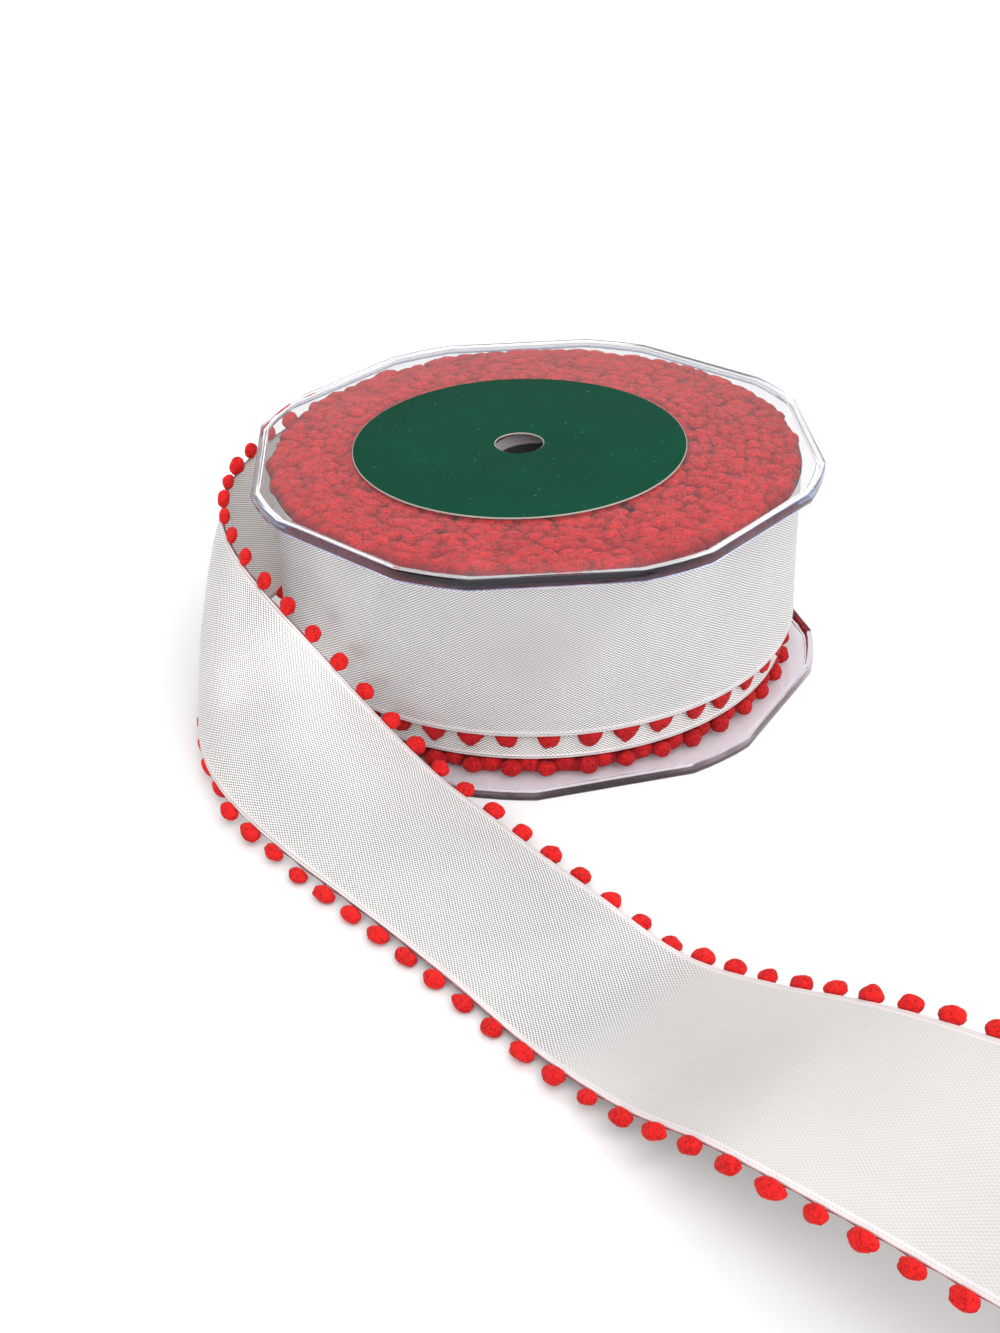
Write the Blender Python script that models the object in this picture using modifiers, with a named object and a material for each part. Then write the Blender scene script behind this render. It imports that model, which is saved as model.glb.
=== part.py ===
"""Satin ribbon with pompom edges, wound on a clear spool, with its loose end turned over on the table.

Lengths are in metres, +Z is up and the table is at z = 0. The pieces are placed around the spool's
axis, and an empty on that axis carries them all.
"""
import math
import random

import bmesh
import bpy
import numpy as np
from mathutils import Vector

MM = 0.001
GAP = 0.3 * MM

# Where the spool's axis stands, so that the whole object is centred on the origin
SPOOL_X = -52.5 * MM
SPOOL_Y = 110.17 * MM

# Flanges: a round disc with flats, and a rim that stands out from it
SPOOL_HEIGHT = 55.0 * MM
FLANGE_RADIUS = 68.2 * MM
FLANGE_FLATS = 8
FLAT_HALF_ANGLE = math.radians(15.5)
RIM_HEIGHT = 3.0 * MM
RIM_WIDTH = 1.4 * MM
RIM_ROUND = 0.5 * MM
PLATE = 1.2 * MM
UPPER_FLANGE_TURN = math.radians(2.0)
LOWER_FLANGE_TURN = math.radians(13.0)

# Core: a bore tube and a drum, joined by a web
BORE_RADIUS = 9.5 * MM
DRUM_RADIUS = 30.0 * MM
CORE_WALL = 1.6 * MM
WEB_HEIGHT = 26.0 * MM
CORE_STEPS = 32

# Paper label, stuck a little off the spool's axis
LABEL_RADIUS = 39.4 * MM
LABEL_HOLE = 5.7 * MM
LABEL_THICKNESS = 0.4 * MM
LABEL_OFFSET_X = -3.5 * MM
LABEL_OFFSET_Y = -0.4 * MM
LABEL_STEPS = 48

# Wound ribbon: the outer turn stands higher than the turns inside it
RIBBON_WIDTH = 38.0 * MM
ROLL_RADIUS = 62.4 * MM
INNER_TURN_RADIUS = 60.2 * MM
ROLL_TOP = 48.6 * MM
OUTER_TURN_BOTTOM = 13.2 * MM
INNER_TURN_BOTTOM = 5.9 * MM
ROLL_STEPS = 64

# Pompoms, sewn to both edges; each shape is a table of rings: reach in mm, share of the radius
POMPOM_RADIUS = 2.05 * MM
POMPOM_PITCH = 8.7 * MM
ROUND_POMPOM = [(0.4, 0.85), (2.2, 1.0), (3.7, 0.55)]
FLAT_POMPOM = [(1.2, 1.0), (3.6, 0.7)]
RIM_POMPOM = [(1.0, 0.9), (2.9, 0.9), (3.8, 0.5)]
SHORT_POMPOM = [(1.1, 1.0), (3.3, 0.65)]
ROOT_HALF_WIDTH = 0.9 * MM

# Beds of pompoms above and below the wound ribbon
BED_INNER_RADIUS = 31.0 * MM
UPPER_BED_RADIUS = 60.0 * MM
UPPER_BED_CREST = 53.3 * MM
UPPER_BED_VALLEY = 51.4 * MM
UPPER_BED_ROWS = 5
LOWER_BED_RADIUS = 57.6 * MM
LOWER_BED_CREST = 1.6 * MM
LOWER_BED_VALLEY = 3.1 * MM
LOWER_BED_ROWS = 3
BED_UNEVEN = 0.35 * MM
TRIM_INSET = 0.1 * MM

# Loose end: a thin sheet between two narrow edge strips
CLOTH_THICKNESS = 1.0 * MM
EDGE_STRIP = 1.2 * MM
CLOTH_STEP = 5.8 * MM
CLOTH_SHARES = (-1.0, -0.5, 0.0, 0.5, 1.0)
ROUTE_SAMPLES = 24

# Pompoms of the loose end: where the first one stands along its edge in mm, and the pitch from there on,
# as runs of (pompoms, pitch in mm) of which the last one goes on to the cut end
# Columns: edge, side, first pompom, pitches
EDGES = [
    ("upper", 1.0, 33.0, [(8, 8.0), (7, 8.75), (3, 7.95), (40, 8.92)]),
    ("lower", -1.0, 23.4, [(60, 8.85)]),
]
STRIPS_PER_EDGE = 5

# A pompom lies on the table where its edge is lower than this, and tucks in behind the face where it
# would point down more steeply than this
RESTING_HEIGHT = 2.8 * MM
STEEP = 0.62
TUCK = 0.8

# Route of the loose end's middle line, in mm from the spool's axis and above the table. The lean is 90
# degrees where the ribbon stands on its edge and 0 where it lies face up, and the bulge is how far its
# middle stands out from the straight line between its edges. The first and last rows only guide the curve.
# Columns: x, y, height, lean, bulge
ROUTE = [
    (-11.0, 62.4, 32.2, 90.0, 0.0),
    (-25.4, 58.1, 30.8, 90.0, 0.0),
    (-45.2, 47.2, 28.5, 87.0, 0.3),
    (-61.6, 31.9, 26.3, 95.0, 0.9),
    (-72.0, 12.2, 24.7, 93.5, 2.4),
    (-75.2, -10.2, 23.3, 84.0, 4.3),
    (-71.4, -33.6, 20.3, 61.5, 5.3),
    (-59.7, -56.1, 14.0, 33.0, 5.0),
    (-41.8, -76.1, 6.2, 10.5, 3.2),
    (-23.3, -96.8, 3.6, 2.5, 1.1),
    (-6.9, -116.5, 2.6, 0.5, 0.0),
    (8.0, -136.0, 2.9, 1.5, -0.2),
    (22.1, -154.3, 8.5, 8.5, -0.2),
    (35.6, -172.1, 18.1, 12.5, 0.0),
    (50.2, -189.9, 24.6, 19.0, 0.2),
    (65.3, -207.8, 29.6, 24.0, 0.2),
    (82.0, -223.5, 29.5, 22.0, 0.0),
    (100.0, -237.5, 24.0, 15.0, 0.0),
    (119.5, -249.0, 14.0, 8.0, 0.0),
    (140.5, -257.5, 5.2, 2.5, 0.0),
    (163.0, -263.0, 2.3, 0.0, 0.0),
    (186.0, -266.0, 2.3, 0.0, 0.0),
    (209.0, -267.5, 2.3, 0.0, 0.0),
]

COLOURS = {
    "clear_plastic": ((0.86, 0.86, 0.90, 0.35), 0.08),
    "core_plastic": ((0.55, 0.53, 0.56, 1.0), 0.3),
    "label_paper": ((0.012, 0.098, 0.055, 1.0), 0.45),
    "satin": ((0.84, 0.83, 0.80, 1.0), 0.38),
    "pompom_yarn": ((0.70, 0.012, 0.015, 1.0), 0.9),
}

rng = random.Random(14)


def clear_scene():
    for item in list(bpy.data.objects):
        bpy.data.objects.remove(item, do_unlink=True)


def make_material(name):
    colour, roughness = COLOURS[name]
    material = bpy.data.materials.new(name)
    material.use_nodes = True
    shader = material.node_tree.nodes["Principled BSDF"]
    shader.inputs["Base Color"].default_value = colour
    shader.inputs["Roughness"].default_value = roughness
    shader.inputs["Metallic"].default_value = 0.0
    return material


def add_piece(name, mesh, material, axis, at=(0.0, 0.0, 0.0)):
    piece = bpy.data.objects.new(name, mesh)
    piece.data.materials.append(material)
    piece.location = at
    piece.parent = axis
    bpy.data.collections["pompom_ribbon"].objects.link(piece)
    return piece


def loft(rings, closed):
    """A bmesh through rings of equal point counts; an open run of rings is capped at both ends."""
    bm = bmesh.new()
    loops = [[bm.verts.new(point) for point in ring] for ring in rings]
    count = len(rings[0])
    pairs = list(zip(loops[:-1], loops[1:]))
    if closed:
        pairs.append((loops[-1], loops[0]))
    for here, there in pairs:
        for i in range(count):
            j = (i + 1) % count
            bm.faces.new((here[i], here[j], there[j], there[i]))
    if not closed:
        bm.faces.new(list(reversed(loops[0])))
        bm.faces.new(loops[-1])
    bmesh.ops.recalc_face_normals(bm, faces=bm.faces)
    return bm, loops


def to_mesh(bm, name, smooth_below=math.radians(40)):
    mesh = bpy.data.meshes.new(name)
    bm.to_mesh(mesh)
    bm.free()
    mesh.shade_smooth()
    mesh.set_sharp_from_angle(angle=smooth_below)
    return mesh


# Turned pieces

def turned(name, profile, steps, material, axis, at=(0.0, 0.0, 0.0)):
    """A closed (radius, height) profile, turned about the spool's axis, outer side first."""
    mesh = bpy.data.meshes.new(name)
    points = [(radius, 0.0, height) for radius, height in profile]
    edges = [(i, (i + 1) % len(points)) for i in range(len(points))]
    mesh.from_pydata(points, edges, [])
    piece = add_piece(name, mesh, material, axis, at)
    screw = piece.modifiers.new("turn", "SCREW")
    screw.steps = steps
    screw.render_steps = steps
    screw.use_merge_vertices = True
    screw.merge_threshold = 0.00001
    screw.use_smooth_shade = True
    return piece


def core(axis, material):
    low = PLATE + GAP
    high = SPOOL_HEIGHT - PLATE - GAP
    bore_out = BORE_RADIUS + CORE_WALL
    drum_in = DRUM_RADIUS - CORE_WALL
    web_top = WEB_HEIGHT + CORE_WALL
    profile = [
        (DRUM_RADIUS, high), (DRUM_RADIUS, low), (drum_in, low), (drum_in, WEB_HEIGHT),
        (bore_out, WEB_HEIGHT), (bore_out, low), (BORE_RADIUS, low), (BORE_RADIUS, high),
        (bore_out, high), (bore_out, web_top), (drum_in, web_top), (drum_in, high),
    ]
    turned("spool_core", profile, CORE_STEPS, material, axis)


def label(axis, material):
    low = SPOOL_HEIGHT + GAP
    high = low + LABEL_THICKNESS
    profile = [(LABEL_RADIUS, high), (LABEL_RADIUS, low), (LABEL_HOLE, low), (LABEL_HOLE, high)]
    turned("spool_label", profile, LABEL_STEPS, material, axis, (LABEL_OFFSET_X, LABEL_OFFSET_Y, 0.0))


def roll(axis, material):
    inner = DRUM_RADIUS + GAP
    profile = [
        (ROLL_RADIUS, ROLL_TOP), (ROLL_RADIUS, OUTER_TURN_BOTTOM),
        (INNER_TURN_RADIUS, OUTER_TURN_BOTTOM), (INNER_TURN_RADIUS, INNER_TURN_BOTTOM),
        (inner, INNER_TURN_BOTTOM), (inner, ROLL_TOP),
    ]
    turned("ribbon_roll", profile, ROLL_STEPS, material, axis)


# Flanges

def flange_outline(turn):
    """Angle and radius of each outline point: straight flats with round corners between them."""
    side = math.tau / FLANGE_FLATS
    apothem = FLANGE_RADIUS * math.cos(FLAT_HALF_ANGLE)
    points = []
    for flat in range(FLANGE_FLATS):
        middle = turn + flat * side
        for part in (-1.0, -1.0 / 3.0, 1.0 / 3.0, 1.0):
            angle = part * FLAT_HALF_ANGLE
            points.append((middle + angle, apothem / math.cos(angle)))
        corner = side - 2.0 * FLAT_HALF_ANGLE
        for part in (1.0 / 3.0, 2.0 / 3.0):
            points.append((middle + FLAT_HALF_ANGLE + part * corner, FLANGE_RADIUS))
    return points


def flange(name, turn, base, up, axis, material):
    """A plate with a rim on its upper (up = 1) or lower (up = -1) side, its flat face at base."""
    outline = flange_outline(turn)
    section = [
        (RIM_ROUND, 0.0), (0.0, RIM_ROUND), (0.0, RIM_HEIGHT - RIM_ROUND), (RIM_ROUND, RIM_HEIGHT),
        (RIM_WIDTH, RIM_HEIGHT), (RIM_WIDTH + 2.0 * RIM_ROUND, PLATE), (None, PLATE), (None, 0.0),
    ]
    rings = []
    for inset, height in section:
        ring = []
        for angle, radius in outline:
            reach = BORE_RADIUS if inset is None else radius - inset
            ring.append((reach * math.cos(angle), reach * math.sin(angle), base + up * height))
        rings.append(ring)
    bm, _ = loft(rings, closed=True)
    add_piece(name, to_mesh(bm, name), material, axis)


# Pompoms

def grow_pompom(bm, root, out, up, rings, flatten=1.0):
    """Pull a pompom out of a root face, ring by ring; flatten is its height's share of its width."""
    along = up.cross(out).normalized()
    middle = root.calc_center_median()
    spokes = [vert.co - middle for vert in root.verts]
    signs = [(math.copysign(1.0, spoke.dot(along)), math.copysign(1.0, spoke.dot(up))) for spoke in spokes]
    face = root
    for reach, share in rings:
        face = bmesh.ops.extrude_discrete_faces(bm, faces=[face])["faces"][0]
        half = POMPOM_RADIUS * share
        for vert, (side, rise) in zip(face.verts, signs):
            vert.co = middle + out * reach * MM + along * side * half + up * rise * half * flatten


def root_angles(count, radius, share):
    """Angles of both sides of each root; share 1 is the root's own width and 0 is an even spread."""
    step = math.tau / count
    half = share * ROOT_HALF_WIDTH / radius + (1.0 - share) * step / 4.0
    return [k * step + side * half for k in range(count) for side in (-1.0, 1.0)]


def grow_on_ring(bm, loop_a, loop_b, rings, out, up, flatten=1.0):
    """Grow a pompom from each root face between two loops; None stands for the spoke at that root."""
    roots = []
    for k in range(0, len(loop_a), 2):
        corners = {loop_a[k], loop_a[k + 1], loop_b[k], loop_b[k + 1]}
        roots.append(next(face for face in loop_a[k].link_faces if set(face.verts) == corners))
    for root in roots:
        middle = root.calc_center_median()
        spoke = Vector((middle.x, middle.y, 0.0)).normalized()
        grow_pompom(bm, root, out or spoke, up or spoke, rings, flatten)


def pompom_bed(name, outer, flat_z, crest, valley, rows, rings, axis, material):
    """A lumpy ring of packed pompoms, with the outermost turn's pompoms standing out at its edge."""
    count = round(math.tau * (outer + POMPOM_RADIUS) / POMPOM_PITCH)
    toward = 1.0 if crest > flat_z else -1.0
    root_z = 0.5 * (flat_z + crest)
    pitch = (outer - BED_INNER_RADIUS) / (rows + 0.6)
    sections = [(BED_INNER_RADIUS, flat_z, 0.0), (BED_INNER_RADIUS, valley, 0.0)]
    sections += [(BED_INNER_RADIUS + row * pitch, None, 0.0) for row in range(1, rows + 1)]
    sections += [
        (outer, root_z + toward * ROOT_HALF_WIDTH, 1.0),
        (outer, root_z - toward * ROOT_HALF_WIDTH, 1.0),
        (outer, flat_z, 0.5),
    ]
    loops = []
    for row, (radius, height, share) in enumerate(sections):
        ring = []
        for i, angle in enumerate(root_angles(count, outer, share)):
            z = height
            r = radius
            if height is None:
                on_crest = (i + row) % 2
                z = crest - toward * rng.uniform(0.0, BED_UNEVEN) if on_crest else valley
                r += rng.uniform(-BED_UNEVEN, BED_UNEVEN)
            ring.append((r * math.cos(angle), r * math.sin(angle), z))
        loops.append(ring)
    bm, verts = loft(loops, closed=True)
    grow_on_ring(bm, verts[-3], verts[-2], rings, None, Vector((0.0, 0.0, 1.0)))
    add_piece(name, to_mesh(bm, name), material, axis)


def outer_turn_trim(axis, material):
    """Pompoms that hang from the outer turn's lower edge, in front of the turn inside it."""
    inside = INNER_TURN_RADIUS + GAP + TRIM_INSET
    outside = ROLL_RADIUS - TRIM_INSET
    high = OUTER_TURN_BOTTOM - GAP
    low = high - EDGE_STRIP
    count = round(math.tau * ROLL_RADIUS / POMPOM_PITCH)
    angles = root_angles(count, outside, 1.0)
    section = [(inside, low), (outside, low), (outside, high), (inside, high)]
    rings = [[(r * math.cos(a), r * math.sin(a), z) for a in angles] for r, z in section]
    bm, loops = loft(rings, closed=True)
    flatten = 0.5 * (outside - inside) / POMPOM_RADIUS
    grow_on_ring(bm, loops[0], loops[1], FLAT_POMPOM, Vector((0.0, 0.0, -1.0)), None, flatten)
    add_piece("outer_turn_pompoms", to_mesh(bm, "outer_turn_pompoms"), material, axis)


# Loose end

def route_point(place):
    """Catmull-Rom curve through the route's rows; place 0 is the second row."""
    rows = np.array(ROUTE)
    first = min(int(place), len(rows) - 4)
    u = place - first
    a, b, c, d = rows[first:first + 4]
    bend = (c - a) * u + (2.0 * a - 5.0 * b + 4.0 * c - d) * u**2 + (3.0 * b - a - 3.0 * c + d) * u**3
    return b + 0.5 * bend


def unit(rows):
    return rows / np.linalg.norm(rows, axis=-1, keepdims=True)


class LooseEnd:
    """The ribbon's loose end. A share runs across it, from -1 at the lower edge to 1 at the upper one."""

    def __init__(self):
        spans = len(ROUTE) - 3
        self.places = np.linspace(0.0, spans, spans * ROUTE_SAMPLES + 1)
        rows = np.array([route_point(place) for place in self.places])
        self.middle = rows[:, :3] * MM
        self.bulge = rows[:, 4:5] * MM
        lean = np.radians(rows[:, 3:4])
        self.along = unit(np.gradient(self.middle, axis=0))
        level = unit(np.cross((0.0, 0.0, 1.0), self.along))
        self.across = level * np.cos(lean) + np.cross(self.along, level) * np.sin(lean)
        self.face = np.cross(self.along, self.across)
        # The edges draw together where the middle bulges, so that the ribbon keeps its width
        self.half = (RIBBON_WIDTH / 2.0) * (1.0 - (8.0 / 3.0) * (self.bulge / RIBBON_WIDTH) ** 2)

    def line(self, share):
        return self.middle + self.across * share * self.half + self.face * self.bulge * (1.0 - share**2)

    def lengths(self, share):
        steps = np.linalg.norm(np.diff(self.line(share), axis=0), axis=1)
        return np.concatenate([[0.0], np.cumsum(steps)])

    def place(self, share, distance):
        """Place on the route of the point at a distance along the line at this share."""
        return np.interp(distance, self.lengths(share), self.places)

    def frame(self, share, place):
        """Point on the ribbon, with the direction towards its upper edge and the face's normal there."""
        slope = self.across * self.half - self.face * self.bulge * 2.0 * share
        rows = np.hstack([self.line(share), self.along, slope])
        values = np.array([np.interp(place, self.places, column) for column in rows.T])
        across = unit(values[6:])
        return values[:3], across, unit(np.cross(values[3:6], across))


def cloth(loose, axis, material):
    """The sheet between the edge strips."""
    edge_share = 1.0 - (EDGE_STRIP + GAP) / (RIBBON_WIDTH / 2.0)
    run = loose.lengths(0.0)[-1]
    count = round(run / CLOTH_STEP)
    rings = []
    for k in range(count + 1):
        place = loose.place(0.0, run * k / count)
        frames = [loose.frame(share * edge_share, place) for share in CLOTH_SHARES]
        top = [point + normal * CLOTH_THICKNESS / 2.0 for point, _, normal in frames]
        under = [point - normal * CLOTH_THICKNESS / 2.0 for point, _, normal in reversed(frames)]
        rings.append(top + under)
    bm, _ = loft(rings, closed=False)
    add_piece("ribbon_loose_end", to_mesh(bm, "ribbon_loose_end"), material, axis)


def strip_ring(loose, side, distance):
    """The edge strip's four corners: inner pair first, then the outer pair that carries the pompoms."""
    place = loose.place(side, distance)
    edge, across, normal = loose.frame(side, place)
    inside = edge - across * side * EDGE_STRIP
    half = normal * CLOTH_THICKNESS / 2.0
    return [inside + half, inside - half, edge - half, edge + half]


def lay_pompom(bm, root, loose, side, distance):
    """A pompom at the strip's edge: it lies on the table there, or tucks in behind a steep lower edge."""
    place = loose.place(side, distance)
    edge, _, _ = loose.frame(side, place)
    _, across, normal = loose.frame(0.0, place)
    out = Vector(across) * side
    normal = Vector(normal)
    lies = edge[2] < RESTING_HEIGHT and abs(out.z) < STEEP
    if lies:
        out = Vector((out.x, out.y, 0.0)).normalized()
        normal = Vector((0.0, 0.0, 1.0))
    elif out.z < -STEEP:
        tucked = (out - normal * TUCK).normalized()
        normal = (normal + out * TUCK).normalized()
        out = tucked
    before = set(bm.verts)
    grow_pompom(bm, root, out, normal, ROUND_POMPOM)
    grown = [vert for vert in bm.verts if vert not in before]
    lowest = min(vert.co.z for vert in grown)
    if lies or lowest < 0.0:
        for vert in grown:
            vert.co.z -= lowest


def trim(name, loose, side, start, centres, stop, axis, material):
    """A strip of one edge from start to stop, with a pompom at each of the centres along it."""
    marks = [centre + part * ROOT_HALF_WIDTH for centre in centres for part in (-1.0, 1.0)]
    rings = [strip_ring(loose, side, distance) for distance in (start, *marks, stop)]
    bm, loops = loft(rings, closed=False)
    outer_pairs = [(loop[2], loop[3]) for loop in loops[1:-1]]
    roots = []
    for here, there in zip(outer_pairs[0::2], outer_pairs[1::2]):
        corners = {*here, *there}
        roots.append(next(face for face in here[0].link_faces if set(face.verts) == corners))
    for root, centre in zip(roots, centres):
        lay_pompom(bm, root, loose, side, centre)
    add_piece(name, to_mesh(bm, name), material, axis)


def pompom_centres(first, pitches, end):
    """Distances of an edge's pompoms along it, each a pitch from the last, up to the cut end."""
    centres = [first * MM]
    for count, pitch in pitches:
        for _ in range(count):
            centres.append(centres[-1] + pitch * MM)
    return [centre for centre in centres if centre + 2.0 * ROOT_HALF_WIDTH < end]


def trims(loose, axis, material):
    """Each edge's pompoms stand on a row of short strips, so that every strip follows its own bend."""
    for edge, side, first, pitches in EDGES:
        end = loose.lengths(side)[-1]
        centres = pompom_centres(first, pitches, end)
        cuts = [centres[0] - POMPOM_PITCH / 2.0]
        cuts += [0.5 * (here + there) for here, there in zip(centres[:-1], centres[1:])]
        cuts.append(end + GAP / 2.0)
        for strip in range(STRIPS_PER_EDGE):
            low = len(centres) * strip // STRIPS_PER_EDGE
            high = len(centres) * (strip + 1) // STRIPS_PER_EDGE
            name = f"{edge}_edge_pompoms_{strip + 1}"
            start = cuts[low] + GAP / 2.0
            stop = cuts[high] - GAP / 2.0
            trim(name, loose, side, start, centres[low:high], stop, axis, material)


def main():
    clear_scene()
    parts = bpy.data.collections.new("pompom_ribbon")
    bpy.context.scene.collection.children.link(parts)
    axis = bpy.data.objects.new("spool_axis", None)
    axis.location = (SPOOL_X, SPOOL_Y, 0.0)
    parts.objects.link(axis)
    clear = make_material("clear_plastic")
    satin = make_material("satin")
    yarn = make_material("pompom_yarn")
    flange("spool_lower_flange", LOWER_FLANGE_TURN, 0.0, 1.0, axis, clear)
    flange("spool_upper_flange", UPPER_FLANGE_TURN, SPOOL_HEIGHT, -1.0, axis, clear)
    core(axis, make_material("core_plastic"))
    label(axis, make_material("label_paper"))
    roll(axis, satin)
    upper = (UPPER_BED_RADIUS, ROLL_TOP + GAP, UPPER_BED_CREST, UPPER_BED_VALLEY, UPPER_BED_ROWS)
    lower = (LOWER_BED_RADIUS, INNER_TURN_BOTTOM - GAP, LOWER_BED_CREST, LOWER_BED_VALLEY, LOWER_BED_ROWS)
    pompom_bed("upper_pompom_bed", *upper, RIM_POMPOM, axis, yarn)
    pompom_bed("lower_pompom_bed", *lower, SHORT_POMPOM, axis, yarn)
    outer_turn_trim(axis, yarn)
    loose = LooseEnd()
    cloth(loose, axis, satin)
    trims(loose, axis, yarn)


main()
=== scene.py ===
"""Looks of the pompom-edge ribbon on its clear spool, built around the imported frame.

Lengths are in metres, unless a name or a table's heading says mm. +Z is up and the table is at z = 0.
Places are measured from the spool's axis, which is read from the frame.
"""
import logging
import math
import random
from contextlib import contextmanager
from dataclasses import dataclass, field
from enum import Enum
from functools import partial
from typing import Callable, Iterator, Union

import bmesh
import bpy
import numpy as np
from mathutils import Matrix, Vector, noise


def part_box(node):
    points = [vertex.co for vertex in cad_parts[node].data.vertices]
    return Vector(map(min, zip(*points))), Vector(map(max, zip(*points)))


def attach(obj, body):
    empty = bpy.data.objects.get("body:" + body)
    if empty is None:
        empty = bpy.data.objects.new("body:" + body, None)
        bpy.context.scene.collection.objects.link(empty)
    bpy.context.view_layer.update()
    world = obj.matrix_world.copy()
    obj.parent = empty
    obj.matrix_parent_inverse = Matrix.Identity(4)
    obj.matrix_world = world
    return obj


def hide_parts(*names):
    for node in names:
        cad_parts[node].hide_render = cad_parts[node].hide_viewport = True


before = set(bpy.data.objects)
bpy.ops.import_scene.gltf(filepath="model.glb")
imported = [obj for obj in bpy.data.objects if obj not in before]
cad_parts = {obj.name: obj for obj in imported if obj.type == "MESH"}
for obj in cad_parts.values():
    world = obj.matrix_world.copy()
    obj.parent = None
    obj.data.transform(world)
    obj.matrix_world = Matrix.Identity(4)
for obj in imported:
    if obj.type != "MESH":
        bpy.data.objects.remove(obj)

log = logging.getLogger("ribbon")

Piece = bpy.types.Object
Material = bpy.types.Material
Socket = bpy.types.NodeSocket
Outputs = bpy.types.bpy_prop_collection
Given = Union[Socket, float, tuple, Vector]

MM = 0.001
BODY = "root"

# Sizes that the frame's boxes don't give. The ribbon's width is in mm
RIBBON_WIDTH = 38.0
ROLL_INSIDE = 30.4 * MM
INNER_TURN = 60.2 * MM
OUTER_TURN_BOTTOM = 13.2 * MM
FLANGE_RADIUS = 68.2 * MM
BORE = 9.5 * MM
PLATE = 1.2 * MM
LOWER_FLANGE_TURN = math.radians(13.0)
UPPER_FLANGE_TURN = math.radians(2.0)

# Route of the loose end's middle line, in mm from the spool's axis and above the table. The lean is 90
# degrees where the ribbon stands on its edge and 0 where it lies face up, and the bulge is how far its
# middle stands out from the straight line between its edges. The last row only guides the curve.
# Columns: x, y, height, lean, bulge
ROUTE = [
    (-11.0, 62.4, 32.2, 90.0, 0.0),
    (-25.4, 58.1, 30.8, 90.0, 0.0),
    (-45.2, 47.2, 28.5, 87.0, 0.3),
    (-61.6, 31.9, 26.3, 95.0, 0.9),
    (-72.0, 12.2, 24.7, 93.5, 2.4),
    (-75.2, -10.2, 23.3, 84.0, 4.3),
    (-71.4, -33.6, 20.3, 61.5, 5.3),
    (-59.7, -56.1, 14.0, 33.0, 5.0),
    (-41.8, -76.1, 6.2, 10.5, 3.2),
    (-23.3, -96.8, 3.6, 2.5, 1.1),
    (-6.9, -116.5, 2.6, 0.5, 0.0),
    (8.0, -136.0, 2.9, 1.5, -0.2),
    (22.1, -154.3, 8.5, 8.5, -0.2),
    (35.6, -172.1, 18.1, 12.5, 0.0),
    (50.2, -189.9, 24.6, 19.0, 0.2),
    (65.3, -207.8, 29.6, 24.0, 0.2),
    (82.0, -223.5, 29.5, 22.0, 0.0),
    (100.0, -237.5, 24.0, 15.0, 0.0),
    (119.5, -249.0, 14.0, 8.0, 0.0),
    (140.5, -257.5, 5.2, 2.5, 0.0),
    (163.0, -263.0, 2.3, 0.0, 0.0),
    (186.0, -266.0, 2.3, 0.0, 0.0),
    (209.0, -267.5, 2.3, 0.0, 0.0),
]


class Slot(Enum):
    """The record's material slots."""

    CLEAR = "clear_plastic"
    CORE = "core_plastic"
    LABEL = "label_paper"
    SATIN = "satin"
    YARN = "pompom_yarn"


class Edge(Enum):
    """The ribbon's edges, as the side of its middle line on which each lies."""

    UPPER = 1.0
    LOWER = -1.0


# Mesh helpers

def start(primitive: Callable, name: str, **sizes) -> Piece:
    """Adds a primitive with nothing else selected.

    Args:
        primitive: The bpy.ops.mesh call that adds it.
        name: Name of the new object and of its mesh.
        sizes: The call's own sizes and place.

    Returns:
        The new object.
    """
    bpy.ops.object.select_all(action="DESELECT")
    primitive(**sizes)
    piece = bpy.context.object
    piece.name = name
    piece.data.name = name
    return piece


@contextmanager
def editing(piece: Piece) -> Iterator[bmesh.types.BMesh]:
    """Opens edit mode on one piece, gives its mesh, writes that back and closes edit mode again.

    Args:
        piece: The object to edit.
    """
    bpy.context.view_layer.objects.active = piece
    bpy.ops.object.mode_set(mode="EDIT")
    bm = bmesh.from_edit_mesh(piece.data)
    yield bm
    bm.normal_update()
    bmesh.update_edit_mesh(piece.data)
    bpy.ops.object.mode_set(mode="OBJECT")


def run_on_all(piece: Piece, *operators: Callable) -> None:
    """Runs mesh operators on the whole of a piece in edit mode, then turns its faces outwards.

    Args:
        piece: The object to edit.
        operators: Calls without arguments, each of which gets the whole mesh selected.
    """
    bpy.context.view_layer.objects.active = piece
    bpy.ops.object.mode_set(mode="EDIT")
    for operator in (*operators, bpy.ops.mesh.normals_make_consistent):
        bpy.ops.mesh.select_all(action="SELECT")
        operator()
    bpy.ops.object.mode_set(mode="OBJECT")


def apply_modifier(piece: Piece, kind: str, **settings) -> None:
    """Adds a modifier and applies it at once.

    Args:
        piece: The object to change.
        kind: The modifier's type.
        settings: The modifier's own settings.
    """
    modifier = piece.modifiers.new(kind.lower(), kind)
    for name, value in settings.items():
        setattr(modifier, name, value)
    bpy.context.view_layer.objects.active = piece
    bpy.ops.object.modifier_apply(modifier=modifier.name)


def smooth(piece: Piece, degrees: float = 40.0) -> None:
    """Shades a piece smooth, but for edges sharper than an angle.

    Args:
        piece: The object to shade.
        degrees: Edges that bend by more than this stay sharp.
    """
    bpy.ops.object.select_all(action="DESELECT")
    piece.select_set(True)
    bpy.context.view_layer.objects.active = piece
    bpy.ops.object.shade_smooth_by_angle(angle=math.radians(degrees))


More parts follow.
